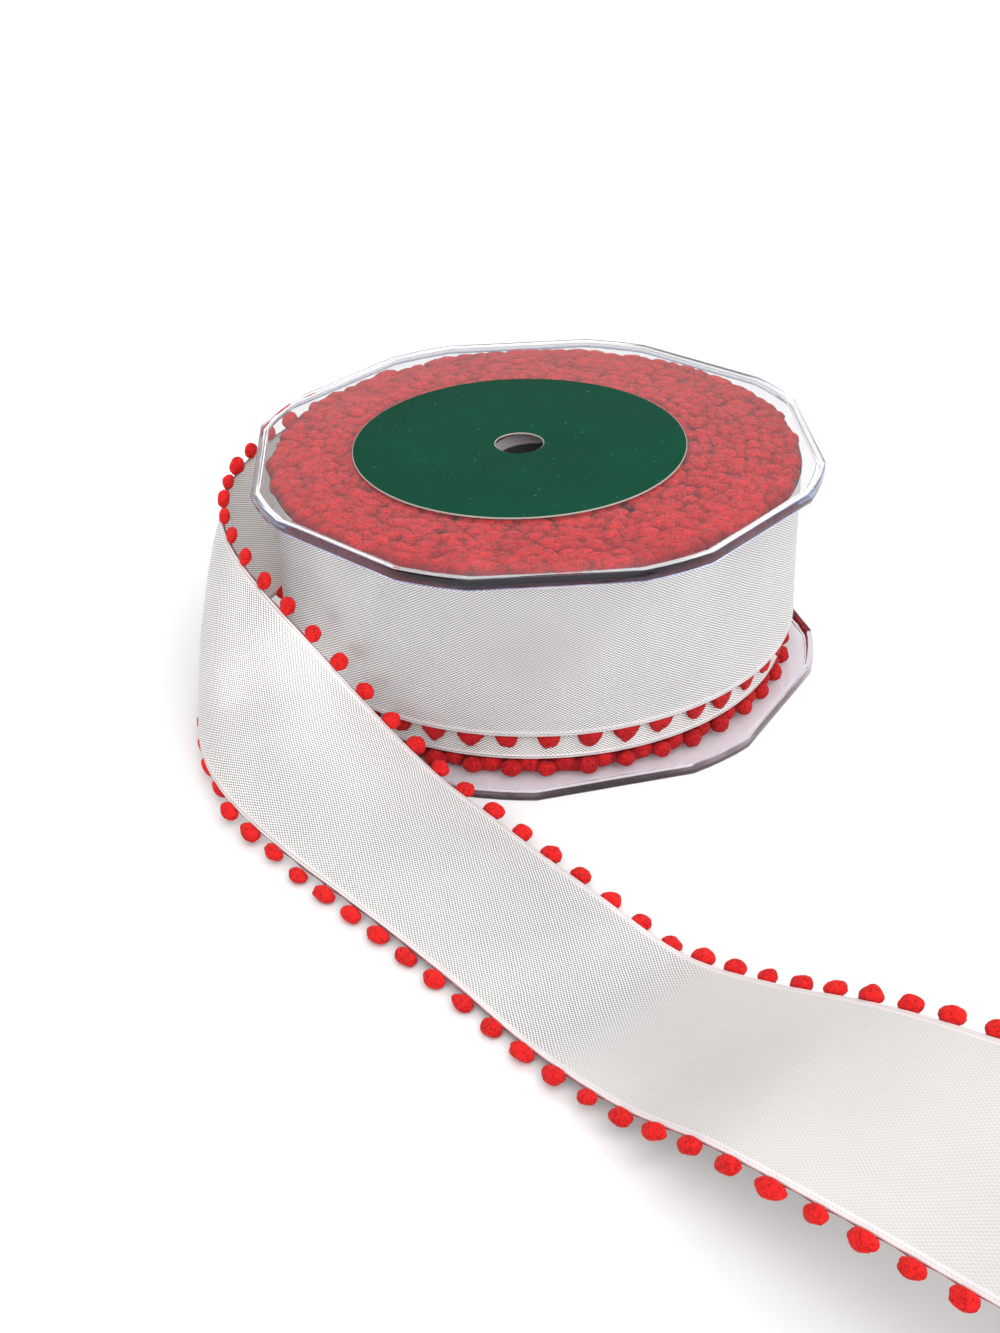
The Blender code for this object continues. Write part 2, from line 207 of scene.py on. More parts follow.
def dress(piece: Piece, materials: list[Material], nodes: list[str]) -> Piece:
    """Gives a finished piece its materials and body, and hides the frame's nodes that it stands for.

    Args:
        piece: The finished object.
        materials: Its materials, in the order of its faces' slots.
        nodes: Names of the frame's nodes that it replaces.

    Returns:
        The same object.
    """
    for index, material in enumerate(materials):
        if index < len(piece.data.materials):
            piece.data.materials[index] = material
        else:
            piece.data.materials.append(material)
    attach(piece, BODY)
    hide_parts(*nodes)
    log.info("%s: %d faces", piece.name, len(piece.data.polygons))
    return piece


def spin_profile(name: str, profile: list[tuple[float, float]], steps: int) -> Piece:
    """Turns a closed profile about the Z axis.

    Args:
        name: Name of the new piece.
        profile: Corners as (radius, height), in order round the section.
        steps: Number of steps in the whole turn.

    Returns:
        The turned piece, with its faces outwards.
    """
    piece = start(
        bpy.ops.mesh.primitive_circle_add, name,
        vertices=len(profile), radius=1.0, fill_type="NOTHING",
    )
    with editing(piece) as bm:
        ordered = sorted(bm.verts, key=lambda vert: math.atan2(vert.co.y, vert.co.x) % math.tau)
        for vert, (radius, height) in zip(ordered, profile):
            vert.co = (radius, 0.0, height)
    turn = partial(
        bpy.ops.mesh.spin, steps=steps, angle=math.tau, center=(0.0, 0.0, 0.0), axis=(0.0, 0.0, 1.0)
    )
    run_on_all(piece, turn, partial(bpy.ops.mesh.remove_doubles, threshold=0.002 * MM))
    return piece


def rounded(corners: list[tuple[float, float, float]], steps: int = 4) -> list[tuple[float, float]]:
    """A closed section with its corners rounded by arcs.

    Args:
        corners: Each corner as (radius, height, size of its round).
        steps: Straight pieces in each round.

    Returns:
        The section's points, in the same order.
    """
    points = []
    count = len(corners)
    for k, (x, z, size) in enumerate(corners):
        corner = Vector((x, z))
        if size == 0.0:
            points.append((x, z))
            continue
        before = Vector(corners[k - 1][:2]) - corner
        after = Vector(corners[(k + 1) % count][:2]) - corner
        here = corner + before.normalized() * size
        there = corner + after.normalized() * size
        for step in range(steps + 1):
            part = step / steps
            point = here * (1 - part) ** 2 + corner * 2 * part * (1 - part) + there * part**2
            points.append((point.x, point.y))
    return points


class Batch:
    """Shaped copies of small things, joined in one mesh."""

    def __init__(self) -> None:
        """Starts an empty batch."""
        self.points: list[np.ndarray] = []
        self.faces: list[np.ndarray] = []
        self.slots: list[np.ndarray] = []
        self.tones: list[np.ndarray] = []
        self.count = 0

    def add(self, points: np.ndarray, faces: np.ndarray, tone: float | np.ndarray, slot: int = 0) -> None:
        """Adds one copy.

        Args:
            points: Its vertices, in the row frame.
            faces: Its triangles, as indices into those vertices.
            tone: Its own shade, or that of each vertex, which its material reads; for the pompom beds it
                also holds painted shade.
            slot: Its place in the piece's list of materials.
        """
        self.points.append(points)
        self.faces.append(faces + self.count)
        self.slots.append(np.full(len(faces), slot, np.int32))
        self.tones.append(np.zeros(len(points), np.float32) + tone)
        self.count += len(points)

    def build(self, name: str) -> Piece:
        """Joins the copies.

        Args:
            name: Name of the new piece.

        Returns:
            The piece, shaded smooth, with each copy's shade in its "tone" attribute.
        """
        points = np.concatenate(self.points).astype(np.float32)
        faces = np.concatenate(self.faces).astype(np.int32)
        mesh = bpy.data.meshes.new(name)
        mesh.vertices.add(len(points))
        mesh.vertices.foreach_set("co", points.ravel())
        mesh.loops.add(faces.size)
        mesh.loops.foreach_set("vertex_index", faces.ravel())
        mesh.polygons.add(len(faces))
        mesh.polygons.foreach_set("loop_start", np.arange(0, faces.size, 3, dtype=np.int32))
        mesh.polygons.foreach_set("material_index", np.concatenate(self.slots))
        mesh.update(calc_edges=True)
        mesh.attributes.new("tone", "FLOAT", "POINT").data.foreach_set("value", np.concatenate(self.tones))
        mesh.shade_smooth()
        piece = bpy.data.objects.new(name, mesh)
        bpy.context.scene.collection.objects.link(piece)
        return piece


# Node helpers

@dataclass
class Wiring:
    """A node tree under construction, with short calls for the nodes that the finishes share."""

    tree: bpy.types.NodeTree

    def feed(self, node: bpy.types.Node, values: dict[str | int, Given]) -> None:
        """Feeds a node's inputs.

        Args:
            node: The node.
            values: For each input's name or number, a socket to link to it or a plain value to set.
        """
        for name, value in values.items():
            if isinstance(value, Socket):
                self.tree.links.new(value, node.inputs[name])
            else:
                node.inputs[name].default_value = value

    def node(self, kind: str, values: dict[str | int, Given] | None = None, **settings) -> bpy.types.Node:
        """Adds a node.

        Args:
            kind: The node's type, without its ShaderNode prefix.
            values: What its inputs are fed.
            settings: Values of the node's own properties.

        Returns:
            The new node.
        """
        made = self.tree.nodes.new("ShaderNode" + kind)
        for name, value in settings.items():
            setattr(made, name, value)
        self.feed(made, values or {})
        return made

    def group(self, tree: bpy.types.NodeTree, values: dict[str | int, Given]) -> Outputs:
        """Places a node group, and gives its outputs."""
        made = self.node("Group", node_tree=tree)
        self.feed(made, values)
        return made.outputs

    def place(self) -> Socket:
        """The piece's Object coordinates, in metres."""
        return self.node("TexCoord").outputs["Object"]

    def parts(self, vector: Socket) -> Outputs:
        """X, Y and Z of a vector."""
        return self.node("SeparateXYZ", {0: vector}).outputs

    def math(self, operation: str, *values: Given, clamp: bool = False) -> Socket:
        """A Math node's result; clamp keeps it between 0 and 1."""
        return self.node("Math", dict(enumerate(values)), operation=operation, use_clamp=clamp).outputs[0]

    def span(self, value: Given, low: float, high: float, begin: Given = 0.0, end: Given = 1.0) -> Socket:
        """A result that goes smoothly from begin to end while the value goes from low to high."""
        given = dict(enumerate((value, low, high, begin, end)))
        return self.node("MapRange", given, interpolation_type="SMOOTHSTEP").outputs[0]

    def noise(self, vector: Socket, size: float, detail: float = 2.0, roughness: float = 0.5) -> Socket:
        """A Noise Texture's value, its largest lumps of the given size in the vector's unit."""
        given = {"Vector": vector, "Scale": 1.0 / size, "Detail": detail, "Roughness": roughness}
        return self.node("TexNoise", given).outputs[0]

    def mix(self, part: Given, first: Given, second: Given) -> Socket:
        """A mix of two colours, with part as the share of the second."""
        return self.node("Mix", {0: part, 6: first, 7: second}, data_type="RGBA").outputs[2]

    def mix_values(self, part: Given, first: Given, second: Given) -> Socket:
        """A mix of two numbers, with part as the share of the second."""
        return self.node("Mix", {0: part, 2: first, 3: second}, data_type="FLOAT").outputs[0]

    def bump(self, height: Socket, distance: float, strength: float) -> Socket:
        """The normal of a relief from 0 to 1 that is distance metres high, shown at a strength."""
        given = {"Height": height, "Distance": distance, "Strength": strength}
        return self.node("Bump", given).outputs[0]


def colour(red: float, green: float, blue: float) -> tuple[float, float, float, float]:
    """A linear colour with full alpha."""
    return (red, green, blue, 1.0)


def new_group(name: str, values: dict[str, float], results: list[str]) -> Wiring:
    """Starts a shader node group that reads a vector.

    Args:
        name: Name of the group.
        values: Its other inputs, each with its value.
        results: Its outputs.

    Returns:
        The group's wiring, with its input and output nodes named "in" and "out".
    """
    group = bpy.data.node_groups.new(name, "ShaderNodeTree")
    group.interface.new_socket("Vector", in_out="INPUT", socket_type="NodeSocketVector")
    for label, value in values.items():
        socket = group.interface.new_socket(label, in_out="INPUT", socket_type="NodeSocketFloat")
        socket.default_value = value
    for label in results:
        group.interface.new_socket(label, in_out="OUTPUT", socket_type="NodeSocketFloat")
    group.nodes.new("NodeGroupInput").name = "in"
    group.nodes.new("NodeGroupOutput").name = "out"
    return Wiring(group)


def weave_group() -> bpy.types.NodeTree:
    """Satin weave: short raised floats along the ribbon, those of each row set off by half from the next.

    Returns:
        A group from ribbon coordinates in mm to the relief of the floats and to their shade: painted
        highlight on the floats and painted shade between them, with random patches.
    """
    wire = new_group("satin weave", {"Float Length": 1.07, "Row Step": 0.314}, ["Height", "Shade"])
    given = wire.tree.nodes["in"].outputs
    drift = wire.math("SUBTRACT", wire.noise(given["Vector"], 9.0), 0.5)
    run, side, _ = wire.parts(given["Vector"])
    along = wire.math("MULTIPLY_ADD", drift, 0.9, run)
    across = wire.math("MULTIPLY_ADD", drift, 0.3, side)
    turn = wire.math("MULTIPLY", wire.math("DIVIDE", along, given["Float Length"]), math.tau)
    row = wire.math("MULTIPLY", wire.math("DIVIDE", across, given["Row Step"]), math.pi)
    lattice = wire.math("MULTIPLY", wire.math("COSINE", turn), wire.math("SINE", row))
    height = wire.span(lattice, -0.5, 0.5)
    patches = wire.math("SUBTRACT", wire.noise(given["Vector"], 22.0, 3.0), 0.5)
    shade = wire.math("MULTIPLY_ADD", patches, 0.35, height, clamp=True)
    wire.feed(wire.tree.nodes["out"], {"Height": height, "Shade": shade})
    return wire.tree


def fuzz_group() -> bpy.types.NodeTree:
    """Cut yarn: fine fibre ends over soft tufts.

    Returns:
        A group from coordinates in metres to the fuzz's relief and its light, with painted shade in the gaps
        between fibre ends.
    """
    wire = new_group("cut yarn fuzz", {"Tone": 0.5, "Fuzziness": 0.75}, ["Height", "Light"])
    given = wire.tree.nodes["in"].outputs
    fibres = wire.noise(given["Vector"], 0.4 * MM, 2.0, 0.6)
    tufts = wire.noise(given["Vector"], 1.0 * MM)
    height = wire.math("ADD", wire.math("MULTIPLY", fibres, 0.8), wire.math("MULTIPLY", tufts, 0.4))
    # Painted shade: the lower the fuzz's relief, the darker the yarn
    light = wire.span(height, 0.46, 0.66)
    fuzzed = wire.math("MULTIPLY_ADD", wire.math("SUBTRACT", light, 1.0), given["Fuzziness"], 0.8)
    toned = wire.math("MULTIPLY_ADD", given["Tone"], 0.2, fuzzed)
    wire.feed(wire.tree.nodes["out"], {"Height": height, "Light": toned})
    return wire.tree


def handling_group() -> bpy.types.NodeTree:
    """Handling: faint smears and fine specks on a polished or coated surface.

    Returns:
        A group from coordinates in metres to a smear mask and a speck mask.
    """
    wire = new_group("handling marks", {}, ["Smear", "Speck"])
    given = wire.tree.nodes["in"].outputs
    smear = wire.span(wire.noise(given["Vector"], 19.0 * MM, 3.0, 0.6), 0.45, 0.7)
    speck = wire.span(wire.noise(given["Vector"], 0.9 * MM, 1.0), 0.74, 0.8)
    wire.feed(wire.tree.nodes["out"], {"Smear": smear, "Speck": speck})
    return wire.tree


# Finishes

@dataclass(frozen=True)
class Finish:
    """What every finish shares: a name, and a fresh Principled material to build on."""

    name: str

    def blank(self) -> tuple[Material, Wiring, bpy.types.Node]:
        """A new material, its wiring and its Principled node."""
        material = bpy.data.materials.new(self.name)
        material.use_nodes = True
        return material, Wiring(material.node_tree), material.node_tree.nodes["Principled BSDF"]

    def open_up(self, wire: Wiring, share: Socket, tint: Given = colour(1.0, 1.0, 1.0)) -> None:
        """Lets part of the light straight through the surface.

        Args:
            wire: The material's wiring.
            share: Which share of the light.
            tint: The colour that it takes on its way.
        """
        clear_way = wire.node("BsdfTransparent", {"Color": tint}).outputs[0]
        surface = wire.tree.nodes["Principled BSDF"].outputs[0]
        blend = wire.node("MixShader", {0: share, 1: surface, 2: clear_way})
        wire.feed(wire.tree.nodes["Material Output"], {"Surface": blend.outputs[0]})


@dataclass(frozen=True)
class SatinFinish(Finish):
    """Off-white satin with a corded selvedge, on the ribbon's own coordinates in mm.

    Past flat_from the ribbon lies face up. From fade_from on it is painted darker, as painted shade, and
    past flat_from its weave fades too. Past loose_from it is a single layer, which lets lamplight through.
    """

    weave: bpy.types.NodeTree
    half_width: float = RIBBON_WIDTH / 2.0
    # The floats' painted highlight and the painted shade between them
    light: tuple = colour(1.0, 0.99, 0.955)
    float_gap_shade: tuple = colour(0.12, 0.10, 0.095)
    selvedge: tuple = colour(0.62, 0.57, 0.57)
    selvedge_width: float = 1.15
    selvedge_groove: float = 0.62
    stitch: float = 0.85
    # Painted shadow in the selvedge's grooves and at its very edge: near black where the ribbon stands,
    # paler and pinkish where it lies
    stitch_gap_shadow: tuple = colour(0.03, 0.02, 0.022)
    flat_gap_shadow: tuple = colour(0.46, 0.34, 0.35)
    roughness: float = 0.32
    translucence: float = 0.85
    contrast: float = 1.5
    level: float = 0.57
    flat_shade_contrast: float = 0.1
    flat_shade_level: float = 0.41
    fade_from: float = 620.0
    gap_shadow_fade_from: float = 640.0
    flat_from: float = 700.0
    flat_to: float = 726.0
    loose_from: float = 460.0
    loose_to: float = 466.0
    sheerness: float = 0.6

    def stitches(self, wire: Wiring, run: Socket, from_edge: Socket) -> Socket:
        """Relief of the selvedge: two cords of slanting stitches with a groove between them.

        Args:
            wire: The material's wiring.
            run: Length along the ribbon.
            from_edge: Distance from its edge.

        Returns:
            The relief, from 0 to about 1.
        """
        slant = wire.math("MULTIPLY_ADD", from_edge, 0.9, run)
        turn = wire.math("SINE", wire.math("MULTIPLY", slant, math.tau / self.stitch))
        twist = wire.math("MULTIPLY_ADD", turn, 0.22, 0.78)
        from_groove = wire.math("ABSOLUTE", wire.math("SUBTRACT", from_edge, self.selvedge_groove))
        edge = wire.span(from_edge, 0.05, 0.2, 0.15)
        cord = wire.math("MULTIPLY", edge, wire.span(from_groove, 0.05, 0.16, 0.45))
        return wire.math("MULTIPLY", cord, twist)

    def ground(self, wire: Wiring, run: Socket, shade: Socket) -> Socket:
        """Colour of the weave: painted highlight and painted shade of its floats, and, where the ribbon lies
        face up, a darker level with fainter floats as painted shade.

        Args:
            wire: The material's wiring.
            run: Length along the ribbon.
            shade: The weave's shade: painted highlight on its floats and painted shade between them, with
                random patches.

        Returns:
            The colour.
        """
        # Painted shade where the ribbon lies face up: fainter floats and a darker level
        contrast = wire.span(run, self.flat_from, self.flat_to, self.contrast, self.flat_shade_contrast)
        swing = wire.math("MULTIPLY", wire.math("SUBTRACT", shade, 0.5), contrast)
        level = wire.span(run, self.fade_from, self.flat_to, self.level, self.flat_shade_level)
        return wire.mix(wire.math("ADD", swing, level), self.float_gap_shade, self.light)

    def material(self) -> Material:
        """Builds the material: weave, selvedge stitches with painted shadow between them, sheen and relief.
        """
        made, wire, shader = self.blank()
        place = wire.node("UVMap", uv_map="ribbon").outputs[0]
        weave = wire.group(self.weave, {"Vector": place})
        run, across, _ = wire.parts(place)
        from_edge = wire.math("SUBTRACT", self.half_width, wire.math("ABSOLUTE", across))
        on_selvedge = wire.span(from_edge, self.selvedge_width, self.selvedge_width + 0.2, 1.0, 0.0)
        stitches = self.stitches(wire, run, from_edge)
        # Painted shadow: where the selvedge's relief is low it takes the gap's dark colour
        gap_shadow = wire.mix(wire.span(run, self.gap_shadow_fade_from, self.flat_from), self.stitch_gap_shadow, self.flat_gap_shadow)
        border = wire.mix(wire.span(stitches, 0.1, 0.7), gap_shadow, self.selvedge)
        height = wire.mix_values(on_selvedge, weave["Height"], wire.math("MULTIPLY", stitches, 1.6))
        wire.feed(shader, {
            "Base Color": wire.mix(on_selvedge, self.ground(wire, run, weave["Shade"]), border),
            "Normal": wire.bump(height, 0.04 * MM, 0.7),
            "Roughness": wire.math("MULTIPLY_ADD", weave["Shade"], -0.14, self.roughness + 0.12),
            "Specular IOR Level": 1.0,
            "IOR": 1.7,
            "Subsurface Weight": self.translucence,
            "Subsurface Radius": (1.0, 0.95, 0.9),
            "Subsurface Scale": 2.0 * MM,
        })
        paths = wire.node("LightPath").outputs
        lamplight = wire.math("MAXIMUM", paths["Is Shadow Ray"], paths["Is Diffuse Ray"])
        single = wire.span(run, self.loose_from, self.loose_to, 0.0, self.sheerness)
        lying = wire.span(run, self.fade_from, self.flat_from, 1.0, 0.2)
        self.open_up(wire, wire.math("MULTIPLY", lamplight, wire.math("MULTIPLY", single, lying)))
        return made


@dataclass(frozen=True)
class YarnFinish(Finish):
    """Bright cut yarn, matt and fuzzy, with painted shade in the gaps between fibre ends, and each pompom's
    shade from its "tone": its own random shade, plus painted shade where a bed's pompoms lie deep.
    """

    fuzz: bpy.types.NodeTree
    bright: tuple = colour(0.66, 0.011, 0.010)
    # Colour of the painted shade, in the gaps between fibre ends and in the beds' hollows
    deep_shade: tuple = colour(0.30, 0.004, 0.006)
    sheen: float = 0.1
    fuzziness: float = 0.75

    def material(self) -> Material:
        """Builds the material: fuzz relief, painted shade in the gaps between fibre ends, soft sheen."""
        made, wire, shader = self.blank()
        tone = wire.node("Attribute", attribute_name="tone").outputs["Fac"]
        fuzz = wire.group(self.fuzz, {"Vector": wire.place(), "Tone": tone, "Fuzziness": self.fuzziness})
        wire.feed(shader, {
            "Base Color": wire.mix(fuzz["Light"], self.deep_shade, self.bright),
            "Normal": wire.bump(fuzz["Height"], 0.25 * MM, 0.7),
            "Roughness": wire.span(fuzz["Height"], 0.3, 0.8, 0.95, 0.8),
            "Specular IOR Level": 0.2,
            "Sheen Weight": self.sheen,
            "Sheen Roughness": 0.5,
            "Sheen Tint": colour(1.0, 0.35, 0.3),
        })
        return made


@dataclass(frozen=True)
class ClearFinish(Finish):
    """Clear moulded plastic, polished, with light handling marks, and dark violet painted shade on the
    outside of its thick rim, darkest where the rim faces the eye.

    Lamplight and rays that have bounced more than depth times pass straight through.
    """

    marks: bpy.types.NodeTree
    tint: tuple = colour(0.96, 0.955, 0.96)
    # Colours of the painted shade on the rim, where it turns away from the eye and where it faces it
    rim_shade_across: tuple = colour(0.11, 0.14, 0.34)
    rim_shade_facing: tuple = colour(0.0003, 0.002, 0.012)
    depth: float = 2.5
    body: tuple = colour(0.58, 0.53, 0.80)
    density: float = 18.0
    roughness: float = 0.02
    let_past: tuple = colour(0.97, 0.965, 0.975)
    lamp_past: tuple = colour(0.885, 0.855, 0.90)

    def material(self) -> Material:
        """Builds the material: glass that lets lamps through, over a tinted body, with painted shade on its
        rim.
        """
        made, wire, shader = self.blank()
        marks = wire.group(self.marks, {"Vector": wire.place()})
        outside = wire.math("SUBTRACT", 1.0, wire.node("NewGeometry").outputs["Backfacing"])
        on_rim = wire.math("MULTIPLY", wire.node("Attribute", attribute_name="rim").outputs["Fac"], outside)
        # Painted shade on the rim's outside: near black where it faces the eye, dark violet where it turns
        # away
        turned_away = wire.node("LayerWeight").outputs["Facing"]
        rim_shade = wire.mix(wire.span(turned_away, 0.13, 0.40), self.rim_shade_facing, self.rim_shade_across)
        wire.feed(shader, {
            "Base Color": wire.mix(on_rim, self.tint, rim_shade),
            "Transmission Weight": 1.0,
            "IOR": 1.5,
            "Specular IOR Level": 0.35,
            "Roughness": wire.math("MULTIPLY_ADD", marks["Smear"], 0.05, self.roughness),
        })
        paths = wire.node("LightPath").outputs
        trapped = wire.math("GREATER_THAN", paths["Ray Depth"], self.depth)
        past = wire.mix(paths["Is Shadow Ray"], self.let_past, self.lamp_past)
        self.open_up(wire, wire.math("MAXIMUM", paths["Is Shadow Ray"], trapped), past)
        soak = wire.node("VolumeAbsorption", {"Color": self.body, "Density": self.density})
        wire.feed(made.node_tree.nodes["Material Output"], {"Volume": soak.outputs[0]})
        return made


@dataclass(frozen=True)
class ShadedCoreFinish(Finish):
    """The core's moulded plastic: pale round the mouth of its bore and, further down, near-black grey as
    painted shade of the deep bore.
    """

    marks: bpy.types.NodeTree
    # Colours of the painted shade down the bore, the second lighter where handling smears lie
    deep_shade: tuple = colour(0.07, 0.066, 0.072)
    deep_shade_worn: tuple = colour(0.10, 0.095, 0.10)
    mouth: tuple = colour(0.80, 0.72, 0.78)
    mouth_from: float = 50.5 * MM
    ring: float = 0.9 * MM
    roughness: float = 0.22

    def material(self) -> Material:
        """Builds the material: half clear, with grey painted shade below the mouth and fine rings at the
        mouth.
        """
        made, wire, shader = self.blank()
        place = wire.place()
        marks = wire.group(self.marks, {"Vector": place})
        # Painted shade below the mouth of the bore, varied by handling smears
        shade = wire.mix(marks["Smear"], self.deep_shade, self.deep_shade_worn)
        height = wire.parts(place)[2]
        rings = wire.math("COSINE", wire.math("MULTIPLY", height, math.tau / self.ring))
        pale = wire.span(height, self.mouth_from, self.mouth_from + 0.25 * MM)
        at_mouth = wire.math("MULTIPLY", wire.math("MULTIPLY_ADD", rings, 0.12, 0.86), pale)
        wire.feed(shader, {
            "Base Color": wire.mix(at_mouth, shade, self.mouth),
            "Transmission Weight": 0.35,
            "Roughness": wire.math("MULTIPLY_ADD", marks["Smear"], 0.1, self.roughness),
        })
        return made


@dataclass(frozen=True)
class PaperFinish(Finish):
    """Coated paper: a deep plain colour with faint mottling, a soft gloss and a few specks."""

    marks: bpy.types.NodeTree
    ink: tuple = colour(0.0012, 0.042, 0.021)
    lighter: tuple = colour(0.0025, 0.055, 0.030)
    speck: tuple = colour(0.16, 0.26, 0.22)
    roughness: float = 0.5

    def material(self) -> Material:
        """Builds the material: mottled ink, specks, and paper grain in the relief."""
        made, wire, shader = self.blank()
        place = wire.place()
        marks = wire.group(self.marks, {"Vector": place})
        grain = wire.noise(place, 0.5 * MM, 3.0, 0.6)
        smeared = wire.math("MULTIPLY", marks["Smear"], 0.5)
        ink = wire.mix(wire.math("MULTIPLY_ADD", grain, 0.5, smeared), self.ink, self.lighter)
        wire.feed(shader, {
            "Base Color": wire.mix(wire.math("MULTIPLY", marks["Speck"], 0.4), ink, self.speck),
            "Roughness": wire.math("MULTIPLY_ADD", marks["Smear"], 0.08, self.roughness),
            "Normal": wire.bump(grain, 0.03 * MM, 0.35),
            "Specular IOR Level": 0.04,
        })
        return made


@dataclass(frozen=True)
class PlainFinish(Finish):
    """A plain matt surface with a little grain, for cut paper edges, thread and the table."""

    tint: tuple
    roughness: float
    grain: float
    variation: float = 0.12

    def material(self) -> Material:
        """Builds the material: one colour, varied a little by its grain."""
        made, wire, shader = self.blank()
        grain = wire.noise(wire.place(), self.grain, 3.0, 0.6)
        darker = colour(*(part * (1.0 - self.variation) for part in self.tint[:3]))
        tint = wire.mix(grain, darker, self.tint)
        wire.feed(shader, {"Base Color": tint, "Roughness": self.roughness, "Specular IOR Level": 0.25})
        return made


class Finishes:
    """Every finish of the object, each built once."""

    def __init__(self) -> None:
        """Builds the shared groups and the materials."""
        weave, fuzz, marks = weave_group(), fuzz_group(), handling_group()
        packed = YarnFinish(
            "packed pompom yarn", fuzz, bright=colour(0.74, 0.015, 0.017), deep_shade=colour(0.22, 0.003, 0.008),
            sheen=0.2, fuzziness=1.0,
        )
        # Painted shade: a darker copy of the same yarn, for the rows that hang in the shade of the roll and
        # the upper flange
        hanging = YarnFinish(
            "hanging pompom yarn", fuzz, bright=colour(0.47, 0.008, 0.010), deep_shade=colour(0.15, 0.0015, 0.004)
        )
        self.satin = SatinFinish("satin", weave).material()
        self.yarn = YarnFinish("pompom yarn", fuzz).material()
        self.packed_yarn = packed.material()
        self.shaded_hanging_yarn = hanging.material()
        # The thread's red is darkened by painted shadow for where it runs in shade between the pompoms
        self.thread = PlainFinish("sewing thread", colour(0.30, 0.010, 0.022), 0.7, 0.3 * MM).material()
        self.clear = ClearFinish("clear plastic", marks).material()
        self.shaded_core = ShadedCoreFinish("core plastic", marks).material()
        self.paper = PaperFinish("green label paper", marks).material()
        self.cut_paper = PlainFinish("cut paper edge", colour(0.36, 0.31, 0.28), 0.8, 0.4 * MM).material()
        self.table = PlainFinish("table", colour(0.73, 0.73, 0.73), 0.9, 60.0 * MM, 0.015).material()


# Spool

@dataclass
class Flange:
    """A clear flange: a plate with eight flats and round corners, and a rim that stands out from it."""

    node: str
    turn: float
    up: float
    centre: Vector
    # Strength of the painted shade on the rim
    rim_shade_strength: float = 1.0
    radius: float = FLANGE_RADIUS
    flats: int = 8
    flat_half_angle: float = math.radians(15.5)
    flat_steps: int = 6
    corner_steps: int = 4
    rim_width: float = 1.5 * MM
    rim_height: float = 3.0 * MM

    def section(self) -> list[tuple[float, float]]:
        """Half section of the flange, with its flat face at height 0 and its rim upwards."""
        inner_rim = self.radius - self.rim_width
        return rounded([
            (BORE, 0.0, 0.0),
            (self.radius - 0.2 * MM, 0.0, 0.45 * MM),
            (self.radius, 1.4 * MM, 0.3 * MM),
            (self.radius - 0.15 * MM, self.rim_height, 0.55 * MM),
            (inner_rim, self.rim_height, 0.45 * MM),
            (inner_rim - 0.7 * MM, PLATE, 0.4 * MM),
            (BORE, PLATE, 0.0),
        ])

    def angles(self) -> list[float]:
        """Angle of each step round the outline, close together at the corners."""
        side, flat = math.tau / self.flats, 2.0 * self.flat_half_angle
        steps = []
        for number in range(self.flats):
            first = self.turn + number * side - self.flat_half_angle
            steps += [first + flat * k / self.flat_steps for k in range(self.flat_steps)]
            steps += [first + flat + (side - flat) * k / self.corner_steps for k in range(self.corner_steps)]
        return steps

    def inset(self, angle: float) -> float:
        """How far the outline lies inside its round corners at an angle.

        Args:
            angle: Angle round the spool's axis.

        Returns:
            The distance, which is 0 at the corners.
        """
        side = math.tau / self.flats
        off = (angle - self.turn + side / 2.0) % side - side / 2.0
        apothem = self.radius * math.cos(self.flat_half_angle)
        return max(0.0, self.radius - apothem / math.cos(off)) if abs(off) < self.flat_half_angle else 0.0

    def build(self, finish: Material) -> Piece:
        """Spins the section, presses the flats into it and gives it its finish.

        Args:
            finish: The clear material.

        Returns:
            The dressed flange.
        """
        angles = self.angles()
        piece = spin_profile("clear_" + self.node, self.section(), len(angles))
        step = math.tau / len(angles)
        with editing(piece) as bm:
            for vert in bm.verts:
                radius = vert.co.xy.length
                angle = angles[round(math.atan2(vert.co.y, vert.co.x) / step) % len(angles)]
                if radius > 0.5 * self.radius:
                    radius -= self.inset(angle)
                vert.co = (radius * math.cos(angle), radius * math.sin(angle), vert.co.z * self.up)
        run_on_all(piece)
        self.mark_rim(piece)
        piece.data.transform(Matrix.Translation(self.centre))
        smooth(piece, 24.0)
        return dress(piece, [finish], [self.node])

    def mark_rim(self, piece: Piece) -> None:
        """Writes how much of the rim each point belongs to, as the strength of the rim's painted shade.

        Args:
            piece: The flange, still about the origin.
        """
        rim = piece.data.attributes.new("rim", "FLOAT", "POINT")
        inner_rim = self.radius - self.rim_width - 0.5 * MM
        for index, vert in enumerate(piece.data.vertices):
            outline = vert.co.xy.length + self.inset(math.atan2(vert.co.y, vert.co.x))
            rim.data[index].value = self.rim_shade_strength if outline > inner_rim and abs(vert.co.z) > 0.1 * MM else 0.0


@dataclass
class Core:
    """The tube and drum that join the flanges, with a web between them."""

    axis: Vector
    low: float
    high: float
    drum: float = 30.0 * MM
    wall: float = 1.6 * MM
    web: float = 26.0 * MM
    steps: int = 96

    def build(self, finish: Material) -> Piece:
        """Spins the core's section.

        Args:
            finish: The core's material, with painted shade down its bore.

        Returns:
            The dressed core.
        """
        tube, inside, top = BORE + self.wall, self.drum - self.wall, self.web + self.wall
        edge, fillet = 0.3 * MM, 1.2 * MM
        section = rounded([
            (self.drum, self.high, edge), (self.drum, self.low, edge), (inside, self.low, edge),
            (inside, self.web, fillet), (tube, self.web, fillet), (tube, self.low, edge),
            (BORE, self.low, edge), (BORE, self.high, edge), (tube, self.high, edge),
            (tube, top, fillet), (inside, top, fillet), (inside, self.high, edge),
        ], 2)
        piece = spin_profile("moulded_core", section, self.steps)
        piece.data.transform(Matrix.Translation(self.axis))
        smooth(piece)
        return dress(piece, [finish], ["spool_core"])


